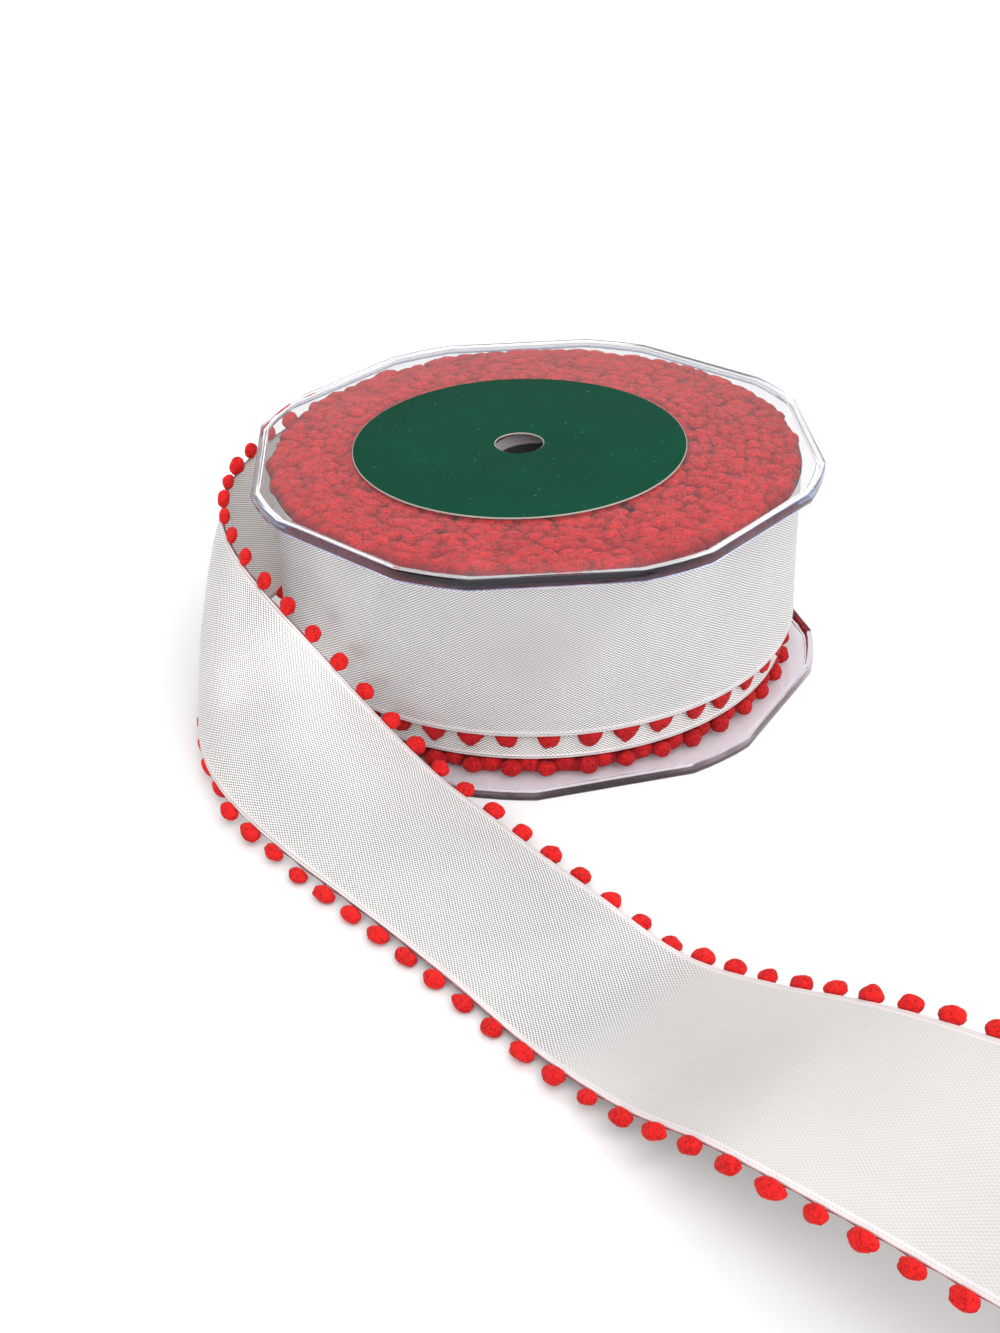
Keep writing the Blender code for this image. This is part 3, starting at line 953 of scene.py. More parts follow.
@dataclass
class Label:
    """A bare round paper label with a punched hole, its cut edge pale."""

    centre: Vector
    radius: float
    low: float = 0.03 * MM
    high: float = 0.35 * MM
    hole: float = 5.7 * MM
    edge: float = 0.18 * MM
    steps: int = 160
    lift: float = 0.05 * MM

    def build(self, ink: Material, cut: Material) -> Piece:
        """Cuts the label from a disc and bevels its cut edges.

        Args:
            ink: The green face's material.
            cut: The cut edge's material.

        Returns:
            The dressed label.
        """
        shoulder, middle = self.high - self.edge / 2.0, 0.5 * (self.radius + self.hole)
        section = [
            (self.radius, self.low), (self.radius, shoulder),
            (self.radius - self.edge, self.high), (middle, self.high),
            (self.hole + self.edge, self.high), (self.hole, shoulder),
            (self.hole, self.low), (middle, self.low),
        ]
        piece = spin_profile("paper_label", section, self.steps)
        with editing(piece) as bm:
            for face in bm.faces:
                face.material_index = 0 if face.normal.z > 0.97 else 1
            for vert in bm.verts:
                if vert.co.xy.length > 0.8 * self.radius:
                    angle = math.atan2(vert.co.y, vert.co.x)
                    vert.co.z += self.lift * (1.0 + math.sin(3.0 * angle + 0.7)) / 2.0
        piece.data.transform(Matrix.Translation(self.centre))
        smooth(piece)
        return dress(piece, [ink, cut], ["spool_label"])


# Ribbon

def unit(rows: np.ndarray) -> np.ndarray:
    """Rows scaled to length 1."""
    return rows / np.linalg.norm(rows, axis=-1, keepdims=True)


@dataclass
class RibbonPath:
    """Where the outer turn and the loose end run, as one ribbon.

    A share runs across it, from -1 at its lower edge to 1 at its upper one, and a place counts the
    route's rows.
    """

    axis: Vector
    width: float
    turn_radius: float
    turn_middle: float
    turn_step: float = 13.6
    turn_rows: int = 31
    blend_rows: int = 4
    layer: float = 0.4
    samples: int = 20

    def __post_init__(self) -> None:
        """Works out the middle line, and the directions across the ribbon and out of its face."""
        route = np.array(self.wound_rows() + ROUTE)
        self.first_loose = float(self.turn_rows)
        spans = len(route) - 3
        self.places = np.linspace(0.0, spans, spans * self.samples + 1)
        rows = np.array([self.catmull(route, place) for place in self.places])
        self.middle = rows[:, :3] * MM + np.array([self.axis.x, self.axis.y, 0.0])
        self.bulge = rows[:, 4:5] * MM
        lean = np.radians(rows[:, 3:4])
        self.along = unit(np.gradient(self.middle, axis=0))
        level = unit(np.cross((0.0, 0.0, 1.0), self.along))
        self.across = level * np.cos(lean) + np.cross(self.along, level) * np.sin(lean)
        self.face = np.cross(self.along, self.across)
        # The edges draw together where the middle bulges, so that the ribbon keeps its width
        self.half = (self.width / 2.0) * (1.0 - (8.0 / 3.0) * (self.bulge / self.width) ** 2)

    def wound_rows(self) -> list[tuple[float, float, float, float, float]]:
        """Rows of the outer turn, up to the route's own first row."""
        x, y, height = ROUTE[0][:3]
        end_angle = math.degrees(math.atan2(y, x))
        end_radius = math.hypot(x, y)
        tight = self.turn_radius / MM
        rows = []
        for back in range(self.turn_rows, 0, -1):
            angle = math.radians(end_angle - back * self.turn_step)
            leaving = max(0.0, 1.0 - back / self.blend_rows) ** 2
            inward = self.layer * max(0.0, back - self.blend_rows) * self.turn_step / 360.0
            radius = tight - inward + (end_radius - tight) * leaving
            middle = self.turn_middle / MM
            rows.append((radius * math.cos(angle), radius * math.sin(angle), middle, 90.0, 0.0))
        return rows

    def catmull(self, rows: np.ndarray, place: float) -> np.ndarray:
        """A point of the smooth curve through the rows; place 0 is the second row.

        Args:
            rows: The route's rows.
            place: Where on the route.

        Returns:
            The row there.
        """
        first = min(int(place), len(rows) - 4)
        u = place - first
        a, b, c, d = rows[first:first + 4]
        bend = (c - a) * u + (2.0 * a - 5.0 * b + 4.0 * c - d) * u**2 + (3.0 * b - a - 3.0 * c + d) * u**3
        return b + 0.5 * bend

    def line(self, share: float) -> np.ndarray:
        """Points of the line at a share across the ribbon."""
        return self.middle + self.across * share * self.half + self.face * self.bulge * (1.0 - share**2)

    def lengths(self, share: float) -> np.ndarray:
        """Length along the line at a share, up to each of its points."""
        steps = np.linalg.norm(np.diff(self.line(share), axis=0), axis=1)
        return np.concatenate([[0.0], np.cumsum(steps)])

    def loose_start(self, share: float) -> float:
        """Length along the line at a share where the loose end begins."""
        return float(np.interp(self.first_loose, self.places, self.lengths(share)))

    def place(self, share: float, distance: float) -> float:
        """Place of the point at a length along the line at a share."""
        return float(np.interp(distance, self.lengths(share), self.places))

    def frame(self, share: float, place: float) -> tuple[Vector, Vector, Vector]:
        """Point on the ribbon and its directions there.

        Args:
            share: Share across the ribbon.
            place: Place along the route.

        Returns:
            The point, the direction towards the upper edge, and the face's normal.
        """
        slope = self.across * self.half - self.face * self.bulge * 2.0 * share
        rows = np.hstack([self.line(share), self.along, slope])
        values = np.array([np.interp(place, self.places, column) for column in rows.T])
        across = unit(values[6:])
        return Vector(values[:3]), Vector(across), Vector(unit(np.cross(values[3:6], across)))


@dataclass
class LooseRibbon:
    """The outer turn and the loose end: one sheet of satin with corded selvedges."""

    path: RibbonPath
    step: float = 1.3 * MM
    columns: int = 34
    thickness: float = 0.6 * MM
    body_share: float = 0.55
    selvedge: float = 1.1 * MM
    ripple: float = 0.22 * MM
    ripple_size: float = 17.0 * MM
    ripple_least: float = 0.25
    ripple_rise: float = 60.0 * MM
    ripple_fall: float = 25.0 * MM

    def weight(self, share: float) -> float:
        """Share of the full thickness at a share across: a cord along each edge, then a groove.

        Args:
            share: Share across the ribbon.

        Returns:
            The thickness there, as a share of the selvedge's.
        """
        from_edge = (1.0 - abs(share)) * self.path.width / 2.0
        if from_edge > self.selvedge:
            return self.body_share
        cord = abs(math.sin(math.pi * from_edge / (self.selvedge / 2.0)))
        return self.body_share + (1.0 - self.body_share) * cord

    def lay(self, runs: np.ndarray, shares: np.ndarray) -> np.ndarray:
        """Places points of the flat ribbon on the route, with its ripples.

        Args:
            runs: Each point's length along the ribbon.
            shares: Its share across it.

        Returns:
            The points as they lie.
        """
        path = self.path
        places = np.interp(runs, path.lengths(0.0), path.places)
        points = np.empty((len(runs), 3))
        for share in np.unique(shares.round(6)):
            here = np.abs(shares - share) < 1e-5
            line, face = path.line(share), path.face
            for axis in range(3):
                points[here, axis] = np.interp(places[here], path.places, line[:, axis])
                normal = np.interp(places[here], path.places, face[:, axis])
                points[here, axis] += normal * self.ripples(runs[here], share)
        return points

    def thicken(self, piece: Piece, shares: np.ndarray) -> None:
        """Gives the sheet its thickness, with a cord along each edge.

        Args:
            piece: The sheet.
            shares: Each point's share across it.
        """
        group = piece.vertex_groups.new(name="thickness")
        weights = {}
        for index, share in enumerate(shares):
            weights.setdefault(round(self.weight(float(share)), 4), []).append(index)
        for weight, indices in weights.items():
            group.add(indices, weight, "REPLACE")
        piece.data.update()
        apply_modifier(
            piece, "SOLIDIFY", thickness=self.thickness, offset=0.0,
            vertex_group="thickness", thickness_vertex_group=0.0,
        )
        piece.vertex_groups.clear()

    def build(self, finish: Material) -> Piece:
        """Lays a fine grid on the route, gives it its coordinates and its thickness.

        Args:
            finish: The satin material.

        Returns:
            The dressed sheet.
        """
        total = self.path.lengths(0.0)[-1]
        piece = start(
            bpy.ops.mesh.primitive_grid_add, "satin_ribbon",
            x_subdivisions=round(total / self.step), y_subdivisions=self.columns, size=1.0,
        )
        mesh = piece.data
        flat = np.empty(len(mesh.vertices) * 3, np.float32)
        mesh.vertices.foreach_get("co", flat)
        flat = flat.reshape(-1, 3)
        runs = (flat[:, 0] + 0.5) * total
        shares = np.sin((flat[:, 1].astype(float)) * math.pi)
        mesh.vertices.foreach_set("co", self.lay(runs, shares).astype(np.float32).ravel())
        mesh.uv_layers[0].name = "ribbon"
        corner = np.empty(len(mesh.loops), np.int32)
        mesh.loops.foreach_get("vertex_index", corner)
        coordinates = np.stack([runs[corner] / MM, shares[corner] * self.path.width / 2.0 / MM], axis=1)
        mesh.uv_layers[0].data.foreach_set("uv", coordinates.astype(np.float32).ravel())
        self.thicken(piece, shares)
        smooth(piece, 50.0)
        return dress(piece, [finish], ["ribbon_loose_end"])

    def ripples(self, runs: np.ndarray, share: float) -> np.ndarray:
        """Soft unevenness of the cloth, as a height over its face.

        Args:
            runs: Lengths along the ribbon.
            share: Share across it.

        Returns:
            The height at each length.
        """
        loose = self.path.loose_start(0.0)
        total = self.path.lengths(0.0)[-1]
        heights = []
        for run in runs:
            point = (run / self.ripple_size, share * 0.9, 2.7)
            amount = min(1.0, max(self.ripple_least, (run - loose) / self.ripple_rise))
            amount *= min(1.0, max(0.0, (total - run) / self.ripple_fall))
            heights.append(noise.noise(point) * self.ripple * amount)
        return np.array(heights)


@dataclass
class WoundRibbon:
    """The wound turns inside the outer one, whose edges show as fine ridges."""

    axis: Vector
    inner: float
    outer: float
    low: float
    high: float
    turns: int = 24
    ridge: float = 0.35 * MM
    edge: float = 0.15 * MM
    groove: float = 1.05 * MM
    cord: float = 0.45 * MM
    steps: int = 144

    def section(self) -> list[tuple[float, float]]:
        """Half section of the roll, with a ridge for each turn and a selvedge at the foot of its side."""
        pitch = (self.outer - self.inner) / self.turns
        top, bottom = [], []
        for turn in range(self.turns):
            radius = self.inner + turn * pitch
            top += [(radius, self.high - self.ridge), (radius + 0.5 * pitch, self.high)]
            bottom += [(radius, self.low + self.ridge), (radius + 0.5 * pitch, self.low)]
        groove = self.low + self.groove
        side = [
            (self.outer - self.edge, self.high), (self.outer, self.high - self.edge),
            (self.outer, groove + 0.1 * MM), (self.outer - self.edge, groove),
            (self.outer, groove - self.edge), (self.outer + self.edge, self.low + self.cord),
            (self.outer, self.low),
        ]
        return top + side + bottom[::-1]

    def lay_coordinates(self, mesh: bpy.types.Mesh) -> None:
        """Writes the ribbon's coordinates in mm: along it round the roll, and across it from its middle.

        Args:
            mesh: The roll's mesh, still about the origin.
        """
        layer = mesh.uv_layers.new(name="ribbon")
        middle = 0.5 * (self.low + self.high)
        half = 0.5 * (self.high - self.low)
        for face in mesh.polygons:
            base = math.atan2(face.center.y, face.center.x)
            for index in face.loop_indices:
                co = mesh.vertices[mesh.loops[index].vertex_index].co
                turn = (math.atan2(co.y, co.x) - base + math.pi) % math.tau - math.pi
                across = (co.z - middle) / half * RIBBON_WIDTH / 2.0
                layer.data[index].uv = ((base + turn) * self.outer / MM, across)

    def build(self, finish: Material) -> Piece:
        """Spins the section and gives it the ribbon's coordinates.

        Args:
            finish: The satin material.

        Returns:
            The dressed roll.
        """
        piece = spin_profile("wound_ribbon", self.section(), self.steps)
        self.lay_coordinates(piece.data)
        piece.data.transform(Matrix.Translation(self.axis))
        smooth(piece, 50.0)
        return dress(piece, [finish], ["ribbon_roll"])


# Pompoms

@dataclass
class PompomMould:
    """A ball of cut yarn, modelled a few times over and copied wherever a pompom is sewn on.

    Its points are in shares of the radius: x points away from the ribbon's edge, y along that edge and
    z out of the ribbon's face.
    """

    subdivisions: int
    lump: float
    hairs: int = 0
    variants: int = 5
    seed: int = 3
    lump_scale: float = 1.3
    tuft_scale: float = 4.0
    tuft_share: float = 0.3
    root: float = 0.93
    hair_length: float = 0.24
    hair_width: float = 0.018
    hair_bend: float = 0.35
    shapes: list[tuple[np.ndarray, np.ndarray]] = field(default_factory=list)

    def __post_init__(self) -> None:
        """Models the variants."""
        rng = random.Random(self.seed)
        self.shapes = [self.model(rng) for _ in range(self.variants)]

    def model(self, rng: random.Random) -> tuple[np.ndarray, np.ndarray]:
        """Models one variant from a ball.

        Args:
            rng: Where its unevenness comes from.

        Returns:
            Its points and triangles.
        """
        ball = start(
            bpy.ops.mesh.primitive_ico_sphere_add, "ball", subdivisions=self.subdivisions, radius=1.0
        )
        shift = Vector((rng.uniform(0, 50), rng.uniform(0, 50), rng.uniform(0, 50)))
        with editing(ball) as bm:
            for vert in bm.verts:
                way = vert.co.normalized()
                soft = noise.noise(way * self.lump_scale + shift) * self.lump
                tuft = noise.noise(way * self.tuft_scale + shift) * self.lump * self.tuft_share
                vert.co = way * (1.0 + soft + tuft)
        points = np.array([vert.co for vert in ball.data.vertices])
        faces = np.array([face.vertices for face in ball.data.polygons], np.int32)
        bpy.data.objects.remove(ball)
        return self.grow_hairs(points, faces, rng)

    def grow_hairs(
        self, points: np.ndarray, faces: np.ndarray, rng: random.Random
    ) -> tuple[np.ndarray, np.ndarray]:
        """Adds loose fibre ends: thin spikes with their roots inside the ball.

        Args:
            points: The ball's points.
            faces: The ball's triangles.
            rng: Where the fibres' places come from.

        Returns:
            The points and triangles with the fibres.
        """
        spikes, ends = [], []
        for hair in range(self.hairs):
            way = Vector((rng.gauss(0, 1), rng.gauss(0, 1), rng.gauss(0, 1))).normalized()
            side = way.orthogonal().normalized()
            side.rotate(Matrix.Rotation(rng.uniform(0, math.tau), 3, way))
            other = way.cross(side)
            bent = (way + side * rng.uniform(-self.hair_bend, self.hair_bend)).normalized()
            base = len(points) + 4 * hair
            for turn in range(3):
                angle = turn * math.tau / 3.0
                spoke = side * math.cos(angle) + other * math.sin(angle)
                spikes.append(way * self.root + spoke * self.hair_width)
            spikes.append(way * 0.95 + bent * self.hair_length * rng.uniform(0.6, 1.3))
            ends += [(base, base + 1, base + 3), (base + 1, base + 2, base + 3), (base + 2, base, base + 3)]
            ends.append((base, base + 2, base + 1))
        if not spikes:
            return points, faces
        return np.vstack([points, np.array(spikes)]), np.vstack([faces, np.array(ends, np.int32)])

    def copy(self, rng: random.Random) -> tuple[np.ndarray, np.ndarray]:
        """One variant, turned at random about its y axis.

        Args:
            rng: Which variant, and how it is turned.

        Returns:
            Its points and triangles.
        """
        points, faces = rng.choice(self.shapes)
        turned = points @ np.array(Matrix.Rotation(rng.uniform(0.0, math.tau), 3, "Y")).T
        return turned, faces


def round_spool(angle: float) -> tuple[np.ndarray, np.ndarray]:
    """Directions out from the spool's axis and round it, at an angle."""
    out = np.array([math.cos(angle), math.sin(angle), 0.0])
    return out, np.array([-out[1], out[0], 0.0])


@dataclass
class PompomBed:
    """Packed pompoms of the wound turns, pressed flat against a flange, with painted shade in the hollows
    between them.
    """

    side: str
    axis: Vector
    inner: float
    outer: float
    face: float
    toward: float
    depth: float
    half_across: float = 2.35 * MM
    half_along: float = 3.2 * MM
    least_plump: float = 0.88
    swelling: float = 0.3
    stray: float = 0.6 * MM
    twist: float = 0.45
    sinking: float = 0.16
    # Painted shade: points below the flange's face grow darker over this depth, up to this strength
    painted_shade_depth: float = 1.1 * MM
    painted_shade_strength: float = 4.6
    row_step: float = 2.75 * MM
    spacing: float = 4.4 * MM
    seed: int = 21
    rim_rows: int = 3

    def build(self, finish: Material, fine: PompomMould, plain: PompomMould) -> Piece:
        """Packs the rows from the drum outwards.

        Args:
            finish: The yarn material.
            fine: Mould of the rows near the rim.
            plain: Mould of the other rows.

        Returns:
            The dressed bed.
        """
        rng = random.Random(self.seed)
        batch = Batch()
        rows = round((self.outer - self.inner) / self.row_step)
        for row in range(rows + 1):
            radius = self.inner + (self.outer - self.inner) * row / rows
            near_rim = row > rows - self.rim_rows
            count = round(math.tau * radius / self.spacing)
            phase = rng.uniform(0.0, math.tau)
            for k in range(count):
                angle = phase + (k + rng.uniform(-0.22, 0.22)) * math.tau / count
                self.press(batch, fine if near_rim else plain, angle, radius, rng)
        piece = batch.build(self.side + "_bed")
        return dress(piece, [finish], [self.side + "_pompom_bed"])

    def press(
        self, batch: Batch, mould: PompomMould, angle: float, radius: float, rng: random.Random
    ) -> None:
        """Presses one pompom against the flange.

        Args:
            batch: The bed's joined mesh.
            mould: The pompom's mould.
            angle: Where it lies round the spool.
            radius: How far out it lies.
            rng: Where its unevenness comes from.
        """
        points, faces = mould.copy(rng)
        outward = (radius - self.inner) / (self.outer - self.inner)
        plump = self.least_plump + self.swelling * outward
        wide = self.half_across * plump * rng.uniform(0.85, 1.15)
        long = self.half_along * plump * rng.uniform(0.8, 1.2)
        tall = self.depth * 0.5 * rng.uniform(0.85, 1.1)
        radius += rng.uniform(-self.stray, self.stray)
        twist = rng.uniform(-self.twist, self.twist)
        out, side = round_spool(angle)
        across = out * math.cos(twist) + side * math.sin(twist)
        along = side * math.cos(twist) - out * math.sin(twist)
        centre = np.array(self.axis) + out * radius
        centre[2] = self.face - self.toward * tall * (rng.uniform(0.68, 0.98) + self.sinking * outward)
        placed = centre + np.outer(points[:, 0] * wide, across) + np.outer(points[:, 1] * long, along)
        placed[:, 2] += points[:, 2] * tall
        limit = self.face - self.toward * 0.06 * MM
        over = (placed[:, 2] - limit) * self.toward > 0.0
        placed[over, 2] = limit
        # Painted shade in the bed's hollows: the deeper a point lies below the flange's face, the lower its
        # tone and the darker its yarn
        painted_shade = np.clip((limit - placed[:, 2]) * self.toward / self.painted_shade_depth, 0.0, 1.0)
        batch.add(placed, faces, rng.random() - self.painted_shade_strength * painted_shade)


@dataclass
class TurnPompoms:
    """A row of pompoms that hangs from a turn's lower edge, round the spool; lengths in mm."""

    radius: float
    height: float
    out: float
    along: float
    tall: float
    pitch: float
    first: float
    seed: int
    narrow: float = 0.0
    rests: bool = True

    def lay(self, batch: Batch, mould: PompomMould, axis: Vector) -> None:
        """Hangs the pompoms.

        Args:
            batch: The joined mesh that they go into.
            mould: Their mould.
            axis: Foot of the spool's axis.
        """
        rng = random.Random(self.seed)
        count = round(math.tau * self.radius / self.pitch)
        for k in range(count):
            angle = math.radians(self.first) + (k + rng.uniform(-0.06, 0.06)) * math.tau / count
            points, faces = mould.copy(rng)
            out, side = round_spool(angle)
            size = rng.uniform(0.9, 1.1) * MM
            centre = np.array(axis) + out * self.radius * MM
            centre[2] = (self.height + rng.uniform(-0.15, 0.15)) * MM
            taper = 1.0 + self.narrow * np.minimum(0.0, points[:, 2])
            placed = centre + np.outer(points[:, 0] * self.out * size, out)
            placed += np.outer(points[:, 1] * self.along * size * taper, side)
            placed[:, 2] += points[:, 2] * self.tall * size
            if self.rests:
                placed[:, 2] = np.maximum(placed[:, 2], PLATE + 0.1 * MM)
            batch.add(placed, faces, rng.random())


# The inner turns' row, the row behind it, and the outer turn's own row, which hangs over the turn inside it
# Columns: radius, height, half widths outwards and along, half height, pitch, first angle, seed
TURN_ROWS = [
    TurnPompoms(60.2, 3.5, 1.95, 2.25, 1.95, 8.8, -90.0, 31),
    TurnPompoms(58.6, 3.9, 2.0, 2.5, 2.2, 8.6, -86.0, 32),
    TurnPompoms(61.2, 12.7, 1.15, 2.95, 3.5, 8.7, -90.0, 33, narrow=0.2, rests=False),
]


def tube_faces(rings: int, sides: int) -> np.ndarray:
    """Triangles of a closed tube whose points are listed ring by ring.

    Args:
        rings: Number of its rings.
        sides: Points in each ring.

    Returns:
        The triangles, with a fan over each end.
    """
    faces = []
    for ring in range(rings - 1):
        for corner in range(sides):
            a = ring * sides + corner
            b = ring * sides + (corner + 1) % sides
            faces += [(a, b, b + sides), (a, b + sides, a + sides)]
    for first in (0, (rings - 1) * sides):
        fan = [(first, first + k, first + k + 1) for k in range(1, sides - 1)]
        faces += fan if first else [face[::-1] for face in fan]
    return np.array(faces, np.int32)


# How many pompoms of the loose end's edges follow at each pitch, in mm
UPPER_PITCHES = [(8, 8.0), (7, 8.75), (3, 7.95), (40, 8.92)]
LOWER_PITCHES = [(60, 8.85)]


@dataclass
class EdgeTrim:
    """Pompoms sewn along one edge of the loose end, joined by their thread."""

    path: RibbonPath
    edge: Edge
    first: float
    pitches: list[tuple[int, float]]
    out: float
    along: float
    offset: float
    tall: float = 1.45 * MM
    resting_height: float = 2.8 * MM
    steep: float = 0.5
    tuck: float = 2.6
    behind: float = 0.35 * MM
    inside: float = 0.1 * MM
    end_margin: float = 1.8 * MM
    thread: float = 0.11 * MM
    thread_wave: float = 8.8 * MM
    thread_lead: float = 30.0 * MM
    thread_out: float = 0.06 * MM
    thread_swing: float = 0.12 * MM
    thread_behind: float = 0.16 * MM
    seed: int = 8

    def centres(self) -> list[float]:
        """Length along the edge of each pompom, up to the cut end."""
        start_length = self.path.loose_start(self.edge.value)
        end = self.path.lengths(self.edge.value)[-1]
        centres = [start_length + self.first * MM]
        for count, pitch in self.pitches:
            for _ in range(count):
                centres.append(centres[-1] + pitch * MM)
        return [centre for centre in centres if centre + self.end_margin < end]

    def build(self, yarn: Material, thread: Material, mould: PompomMould) -> Piece:
        """Lays the pompoms and their thread.

        Args:
            yarn: The pompoms' material.
            thread: The thread's material.
            mould: The pompoms' mould.

        Returns:
            The dressed trim.
        """
        rng = random.Random(self.seed)
        batch = Batch()
        for centre in self.centres():
            self.lay(batch, mould, centre, rng)
        self.lay_thread(batch)
        name = self.edge.name.lower()
        nodes = [f"{name}_edge_pompoms_{number}" for number in range(1, 6)]
        return dress(batch.build(name + "_edge_trim"), [yarn, thread], nodes)

    def lay(self, batch: Batch, mould: PompomMould, centre: float, rng: random.Random) -> None:
        """Lays one pompom: on the table, or tucked in behind a steep edge.

        Args:
            batch: The trim's joined mesh.
            mould: The pompom's mould.
            centre: Its length along the edge.
            rng: Where its unevenness comes from.
        """
        side = self.edge.value
        place = self.path.place(side, centre)
        edge, _, _ = self.path.frame(side, place)
        _, across, normal = self.path.frame(0.0, place)
        out = across * side
        lies = edge.z < self.resting_height and abs(out.z) < self.steep
        if lies:
            out = Vector((out.x, out.y, 0.0)).normalized()
            normal = Vector((0.0, 0.0, 1.0))
        elif out.z < -self.steep:
            tucked = (out - normal * self.tuck).normalized()
            normal = (normal + out * self.tuck).normalized()
            out = tucked
        along = normal.cross(out).normalized()
        points, faces = mould.copy(rng)
        size = rng.uniform(0.9, 1.08)
        shaped = points * np.array([self.out, self.along * rng.uniform(0.92, 1.08), self.tall]) * size
        shaped[:, 0] = np.maximum(shaped[:, 0], self.inside - self.offset)
        basis = np.array([out, along, normal])
        middle = np.array(edge + out * self.offset - normal * self.behind)
        placed = middle + shaped @ basis
        lowest = placed[:, 2].min()
        if lies or lowest < 0.0:
            placed[:, 2] -= lowest
        batch.add(placed, faces, rng.random())

    def lay_thread(self, batch: Batch, sides: int = 5, step: float = 1.2 * MM) -> None:
        """Lays the thread that runs along the selvedge from pompom to pompom.

        Args:
            batch: The trim's joined mesh.
            sides: Sides of the thread.
            step: Length of its pieces.
        """
        side = self.edge.value
        lengths = self.path.lengths(side)
        begin = self.path.loose_start(side) - self.thread_lead
        count = int((lengths[-1] - begin - 1.0 * MM) / step)
        rings = []
        for k in range(count + 1):
            place = self.path.place(side, begin + k * step)
            edge, across, normal = self.path.frame(side, place)
            out = self.thread_out + self.thread_swing * math.sin(k * step / self.thread_wave * math.tau)
            middle = edge + across * side * out - normal * self.thread_behind
            middle.z = max(middle.z, self.thread)
            for corner in range(sides):
                angle = corner * math.tau / sides
                spoke = across * math.cos(angle) + normal * math.sin(angle)
                rings.append(middle + spoke * self.thread)
        batch.add(np.array(rings), tube_faces(count + 1, sides), 0.5, 1)


# Studio

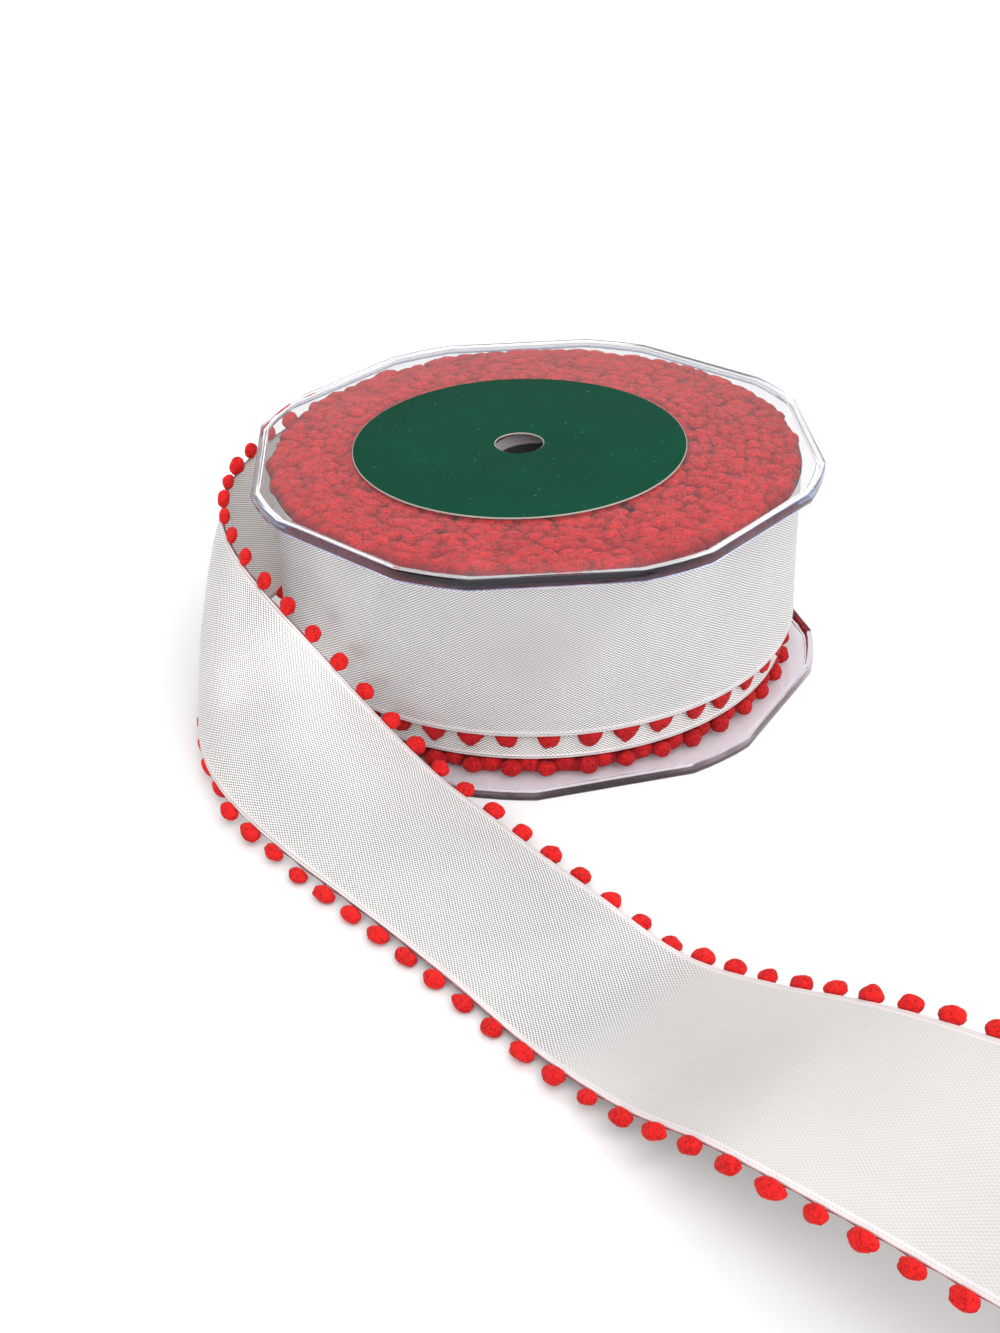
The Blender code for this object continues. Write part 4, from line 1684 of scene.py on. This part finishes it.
@dataclass
class Studio:
    """The table, the soft light and the camera.

    Each side of the room is a direction, the cosines of the angles from it at which its light starts and
    is full, and how bright it is. The window's sill, head and edge are where its light comes in or goes
    out, as heights and depths in a room of radius 1. Places are in mm.
    """

    axis: Vector
    focal: float = 1800.0
    image_height: float = 1333.0
    sensor: float = 36.0
    pitch: float = 0.54694
    roll: float = 0.03653
    stand: tuple = (-9.97, -389.99, 231.09)
    table_size: float = 6.0
    fill: float = 0.27
    sides: tuple = (
        ((0.0, -1.0, 1.25), 0.77, 0.97, 3.25),
        ((0.0, -1.0, 0.06), 0.8, 0.98, 0.9),
        ((-1.0, 0.12, 0.3), 0.88, 0.98, 1.4),
        ((1.0, -0.3, 0.8), 0.6, 0.92, 1.5),
        ((0.0, 1.0, 0.36), 0.86, 0.97, 0.12),
    )
    window_sill: tuple = (0.56, 0.68)
    window_head: tuple = (0.80, 0.92)
    window_edge: tuple = (0.2, 0.5)
    back_window: float = 2.4
    overhead_place: tuple = (150.0, 250.0, 1100.0)
    overhead_aim: tuple = (0.0, 0.0, 20.0)
    loop_place: tuple = (-124.0, 62.0, 14.0)
    loop_aim: tuple = (-100.0, 72.0, 30.0)

    def table(self, finish: Material) -> None:
        """Lays the pale table top, a hair below the object.

        Args:
            finish: Its material.
        """
        table = start(bpy.ops.mesh.primitive_plane_add, "table_top", size=self.table_size)
        table.data.transform(Matrix.Translation((0.0, 0.0, -0.02 * MM)))
        table.data.materials.append(finish)

    def camera(self) -> None:
        """Stands the camera where the photograph's stood, in front of the spool and above it."""
        data = bpy.data.cameras.new("camera")
        data.sensor_width = self.sensor
        data.lens = self.focal / self.image_height * self.sensor
        data.clip_start, data.clip_end = 0.01, 20.0
        camera = bpy.data.objects.new("camera", data)
        bpy.context.scene.collection.objects.link(camera)
        sine, cosine = math.sin(self.pitch), math.cos(self.pitch)
        ahead = Vector((0.0, cosine, -sine))
        right = Vector((1.0, 0.0, 0.0))
        down = Vector((0.0, -sine, -cosine))
        image_x = right * math.cos(self.roll) + down * math.sin(self.roll)
        image_y = down * math.cos(self.roll) - right * math.sin(self.roll)
        turn = Matrix((image_x, -image_y, -ahead)).transposed().to_4x4()
        camera.matrix_world = Matrix.Translation(self.axis + Vector(self.stand) * MM) @ turn
        bpy.context.scene.camera = camera

    def lamp(self, name: str, kind: str, place: tuple, aim: tuple, **settings) -> Piece:
        """Hangs a lamp.

        Args:
            name: Name of the lamp.
            kind: Its kind of light.
            place: Where it hangs.
            aim: What it points at.
            settings: The light's own settings, such as its energy in watts.

        Returns:
            The lamp.
        """
        data = bpy.data.lights.new(name, kind)
        for setting, value in settings.items():
            setattr(data, setting, value)
        lamp = bpy.data.objects.new(name, data)
        bpy.context.scene.collection.objects.link(lamp)
        lamp.location = Vector(place) * MM
        lamp.rotation_mode = "QUATERNION"
        lamp.rotation_quaternion = (Vector(aim) - Vector(place)).to_track_quat("-Z", "Y")
        return lamp

    def glow(self, wire: Wiring, facing: tuple, low: float, high: float, amount: float) -> Socket:
        """Light from one side of the room.

        Args:
            wire: The world's wiring.
            facing: Where the middle of the side lies.
            low: Cosine of the angle from there at which the light starts.
            high: Cosine at which it is full.
            amount: How bright it is.

        Returns:
            The output socket.
        """
        way = wire.node("TexCoord").outputs["Generated"]
        middle = Vector(facing).normalized()
        toward = wire.node("VectorMath", {0: way, 1: middle}, operation="DOT_PRODUCT")
        return wire.span(toward.outputs["Value"], low, high, 0.0, amount)

    def window(self, wire: Wiring) -> Socket:
        """Light from a wide window high up at the back, for the satin's sheen.

        Args:
            wire: The world's wiring.

        Returns:
            The output socket.
        """
        _, back, up = wire.parts(wire.node("TexCoord").outputs["Generated"])
        sill = wire.span(up, *self.window_sill)
        head = wire.span(up, *self.window_head, 1.0, 0.0)
        behind = wire.span(back, *self.window_edge, 0.0, self.back_window)
        return wire.math("MULTIPLY", wire.math("MULTIPLY", sill, head), behind)

    def surroundings(self) -> None:
        """A dim room with a large soft lamp high up in front, a window at the back and faint sides."""
        world = bpy.data.worlds.new("room")
        bpy.context.scene.world = world
        world.use_nodes = True
        wire = Wiring(world.node_tree)
        light = wire.math("ADD", self.window(wire), self.fill)
        for facing, low, high, amount in self.sides:
            light = wire.math("ADD", light, self.glow(wire, facing, low, high, amount))
        seen = wire.node("LightPath").outputs["Is Camera Ray"]
        strength = wire.mix_values(seen, light, 1.0)
        white = colour(1.0, 1.0, 1.0)
        wire.feed(world.node_tree.nodes["Background"], {"Color": white, "Strength": strength})

    def build(self, finish: Material) -> None:
        """Sets up the whole studio, with a small unseen lamp in the loop of the loose end.

        Args:
            finish: The table's material.
        """
        self.table(finish)
        self.camera()
        self.surroundings()
        self.lamp("overhead", "AREA", self.overhead_place, self.overhead_aim, size=0.9, energy=0.5)
        in_loop = self.lamp(
            "loop_lamp", "SPOT", self.loop_place, self.loop_aim, energy=0.03,
            spot_size=math.radians(110.0), spot_blend=1.0, shadow_soft_size=8.0 * MM,
        )
        in_loop.visible_camera = False
        in_loop.visible_glossy = False
        bpy.context.scene.view_settings.view_transform = "Standard"


# The whole object

def middle_of(node: str) -> Vector:
    """Centre of a node's box at rest."""
    low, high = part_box(node)
    return (low + high) / 2.0


def half_width(node: str) -> float:
    """Half of a node's width along X."""
    low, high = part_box(node)
    return (high.x - low.x) / 2.0


def build_spool(finishes: Finishes, axis: Vector) -> None:
    """Builds the flanges, the core and the label.

    Args:
        finishes: The object's materials.
        axis: Foot of the spool's axis.
    """
    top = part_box("spool_upper_flange")[1].z
    head = axis + Vector((0.0, 0.0, top))
    Flange("spool_lower_flange", LOWER_FLANGE_TURN, up=1.0, centre=axis, rim_shade_strength=0.06).build(finishes.clear)
    Flange("spool_upper_flange", UPPER_FLANGE_TURN, up=-1.0, centre=head).build(finishes.clear)
    low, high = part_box("spool_core")
    Core(axis, low.z, high.z).build(finishes.shaded_core)
    centre = middle_of("spool_label")
    centre.z = top
    Label(centre, half_width("spool_label")).build(finishes.paper, finishes.cut_paper)


def build_ribbon(finishes: Finishes, axis: Vector) -> tuple[RibbonPath, Piece]:
    """Builds the wound turns and the sheet of the outer turn and loose end.

    Args:
        finishes: The object's materials.
        axis: Foot of the spool's axis.

    Returns:
        The sheet's route, and the sheet.
    """
    width = RIBBON_WIDTH * MM
    roll_low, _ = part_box("ribbon_roll")
    WoundRibbon(axis, ROLL_INSIDE, INNER_TURN, roll_low.z, roll_low.z + width).build(finishes.satin)
    path = RibbonPath(axis, width, half_width("ribbon_roll"), OUTER_TURN_BOTTOM + width / 2.0)
    return path, LooseRibbon(path).build(finishes.satin)


def build_pompoms(finishes: Finishes, axis: Vector, path: RibbonPath) -> None:
    """Builds the beds, the rows round the roll and the loose end's trims.

    Args:
        finishes: The object's materials.
        axis: Foot of the spool's axis.
        path: The loose end's route.
    """
    fine = PompomMould(subdivisions=3, lump=0.17, hairs=24, seed=3)
    middle = PompomMould(subdivisions=2, lump=0.21, hairs=6, seed=5)
    plain = PompomMould(subdivisions=2, lump=0.22, seed=7)
    upper_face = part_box("spool_upper_flange")[1].z - PLATE
    beds = [
        PompomBed(
            "upper", axis, inner=31.5 * MM, outer=59.9 * MM, face=upper_face, toward=1.0, depth=3.6 * MM
        ),
        PompomBed(
            "lower", axis, inner=32.0 * MM, outer=56.8 * MM, face=PLATE, toward=-1.0, depth=4.4 * MM,
            seed=22, rim_rows=1,
        ),
    ]
    for bed in beds:
        bed.build(finishes.packed_yarn, middle, plain)
    batch = Batch()
    for row, mould in zip(TURN_ROWS, (fine, middle, fine)):
        row.lay(batch, mould, axis)
    # The hanging rows take the darker copy of the yarn, which is painted shade
    dress(batch.build("outer_turn_trim"), [finishes.shaded_hanging_yarn], ["outer_turn_pompoms"])
    trims = [
        EdgeTrim(
            path, Edge.UPPER, 33.0, UPPER_PITCHES, out=2.05 * MM, along=2.35 * MM, offset=1.75 * MM
        ),
        EdgeTrim(path, Edge.LOWER, 23.4, LOWER_PITCHES, out=1.8 * MM, along=2.65 * MM, offset=1.4 * MM),
    ]
    for trim in trims:
        trim.build(finishes.yarn, finishes.thread, fine)


def main() -> None:
    """Builds the object and its studio."""
    logging.basicConfig(level=logging.INFO, format="%(name)s: %(message)s")
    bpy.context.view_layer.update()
    axis = middle_of("spool_upper_flange")
    axis.z = 0.0
    finishes = Finishes()
    build_spool(finishes, axis)
    Studio(axis).build(finishes.table)
    path, ribbon = build_ribbon(finishes, axis)
    build_pompoms(finishes, axis, path)
    round(float(path.lengths(0.0)[-1]), 3)


if __name__ == "__main__":
    main()
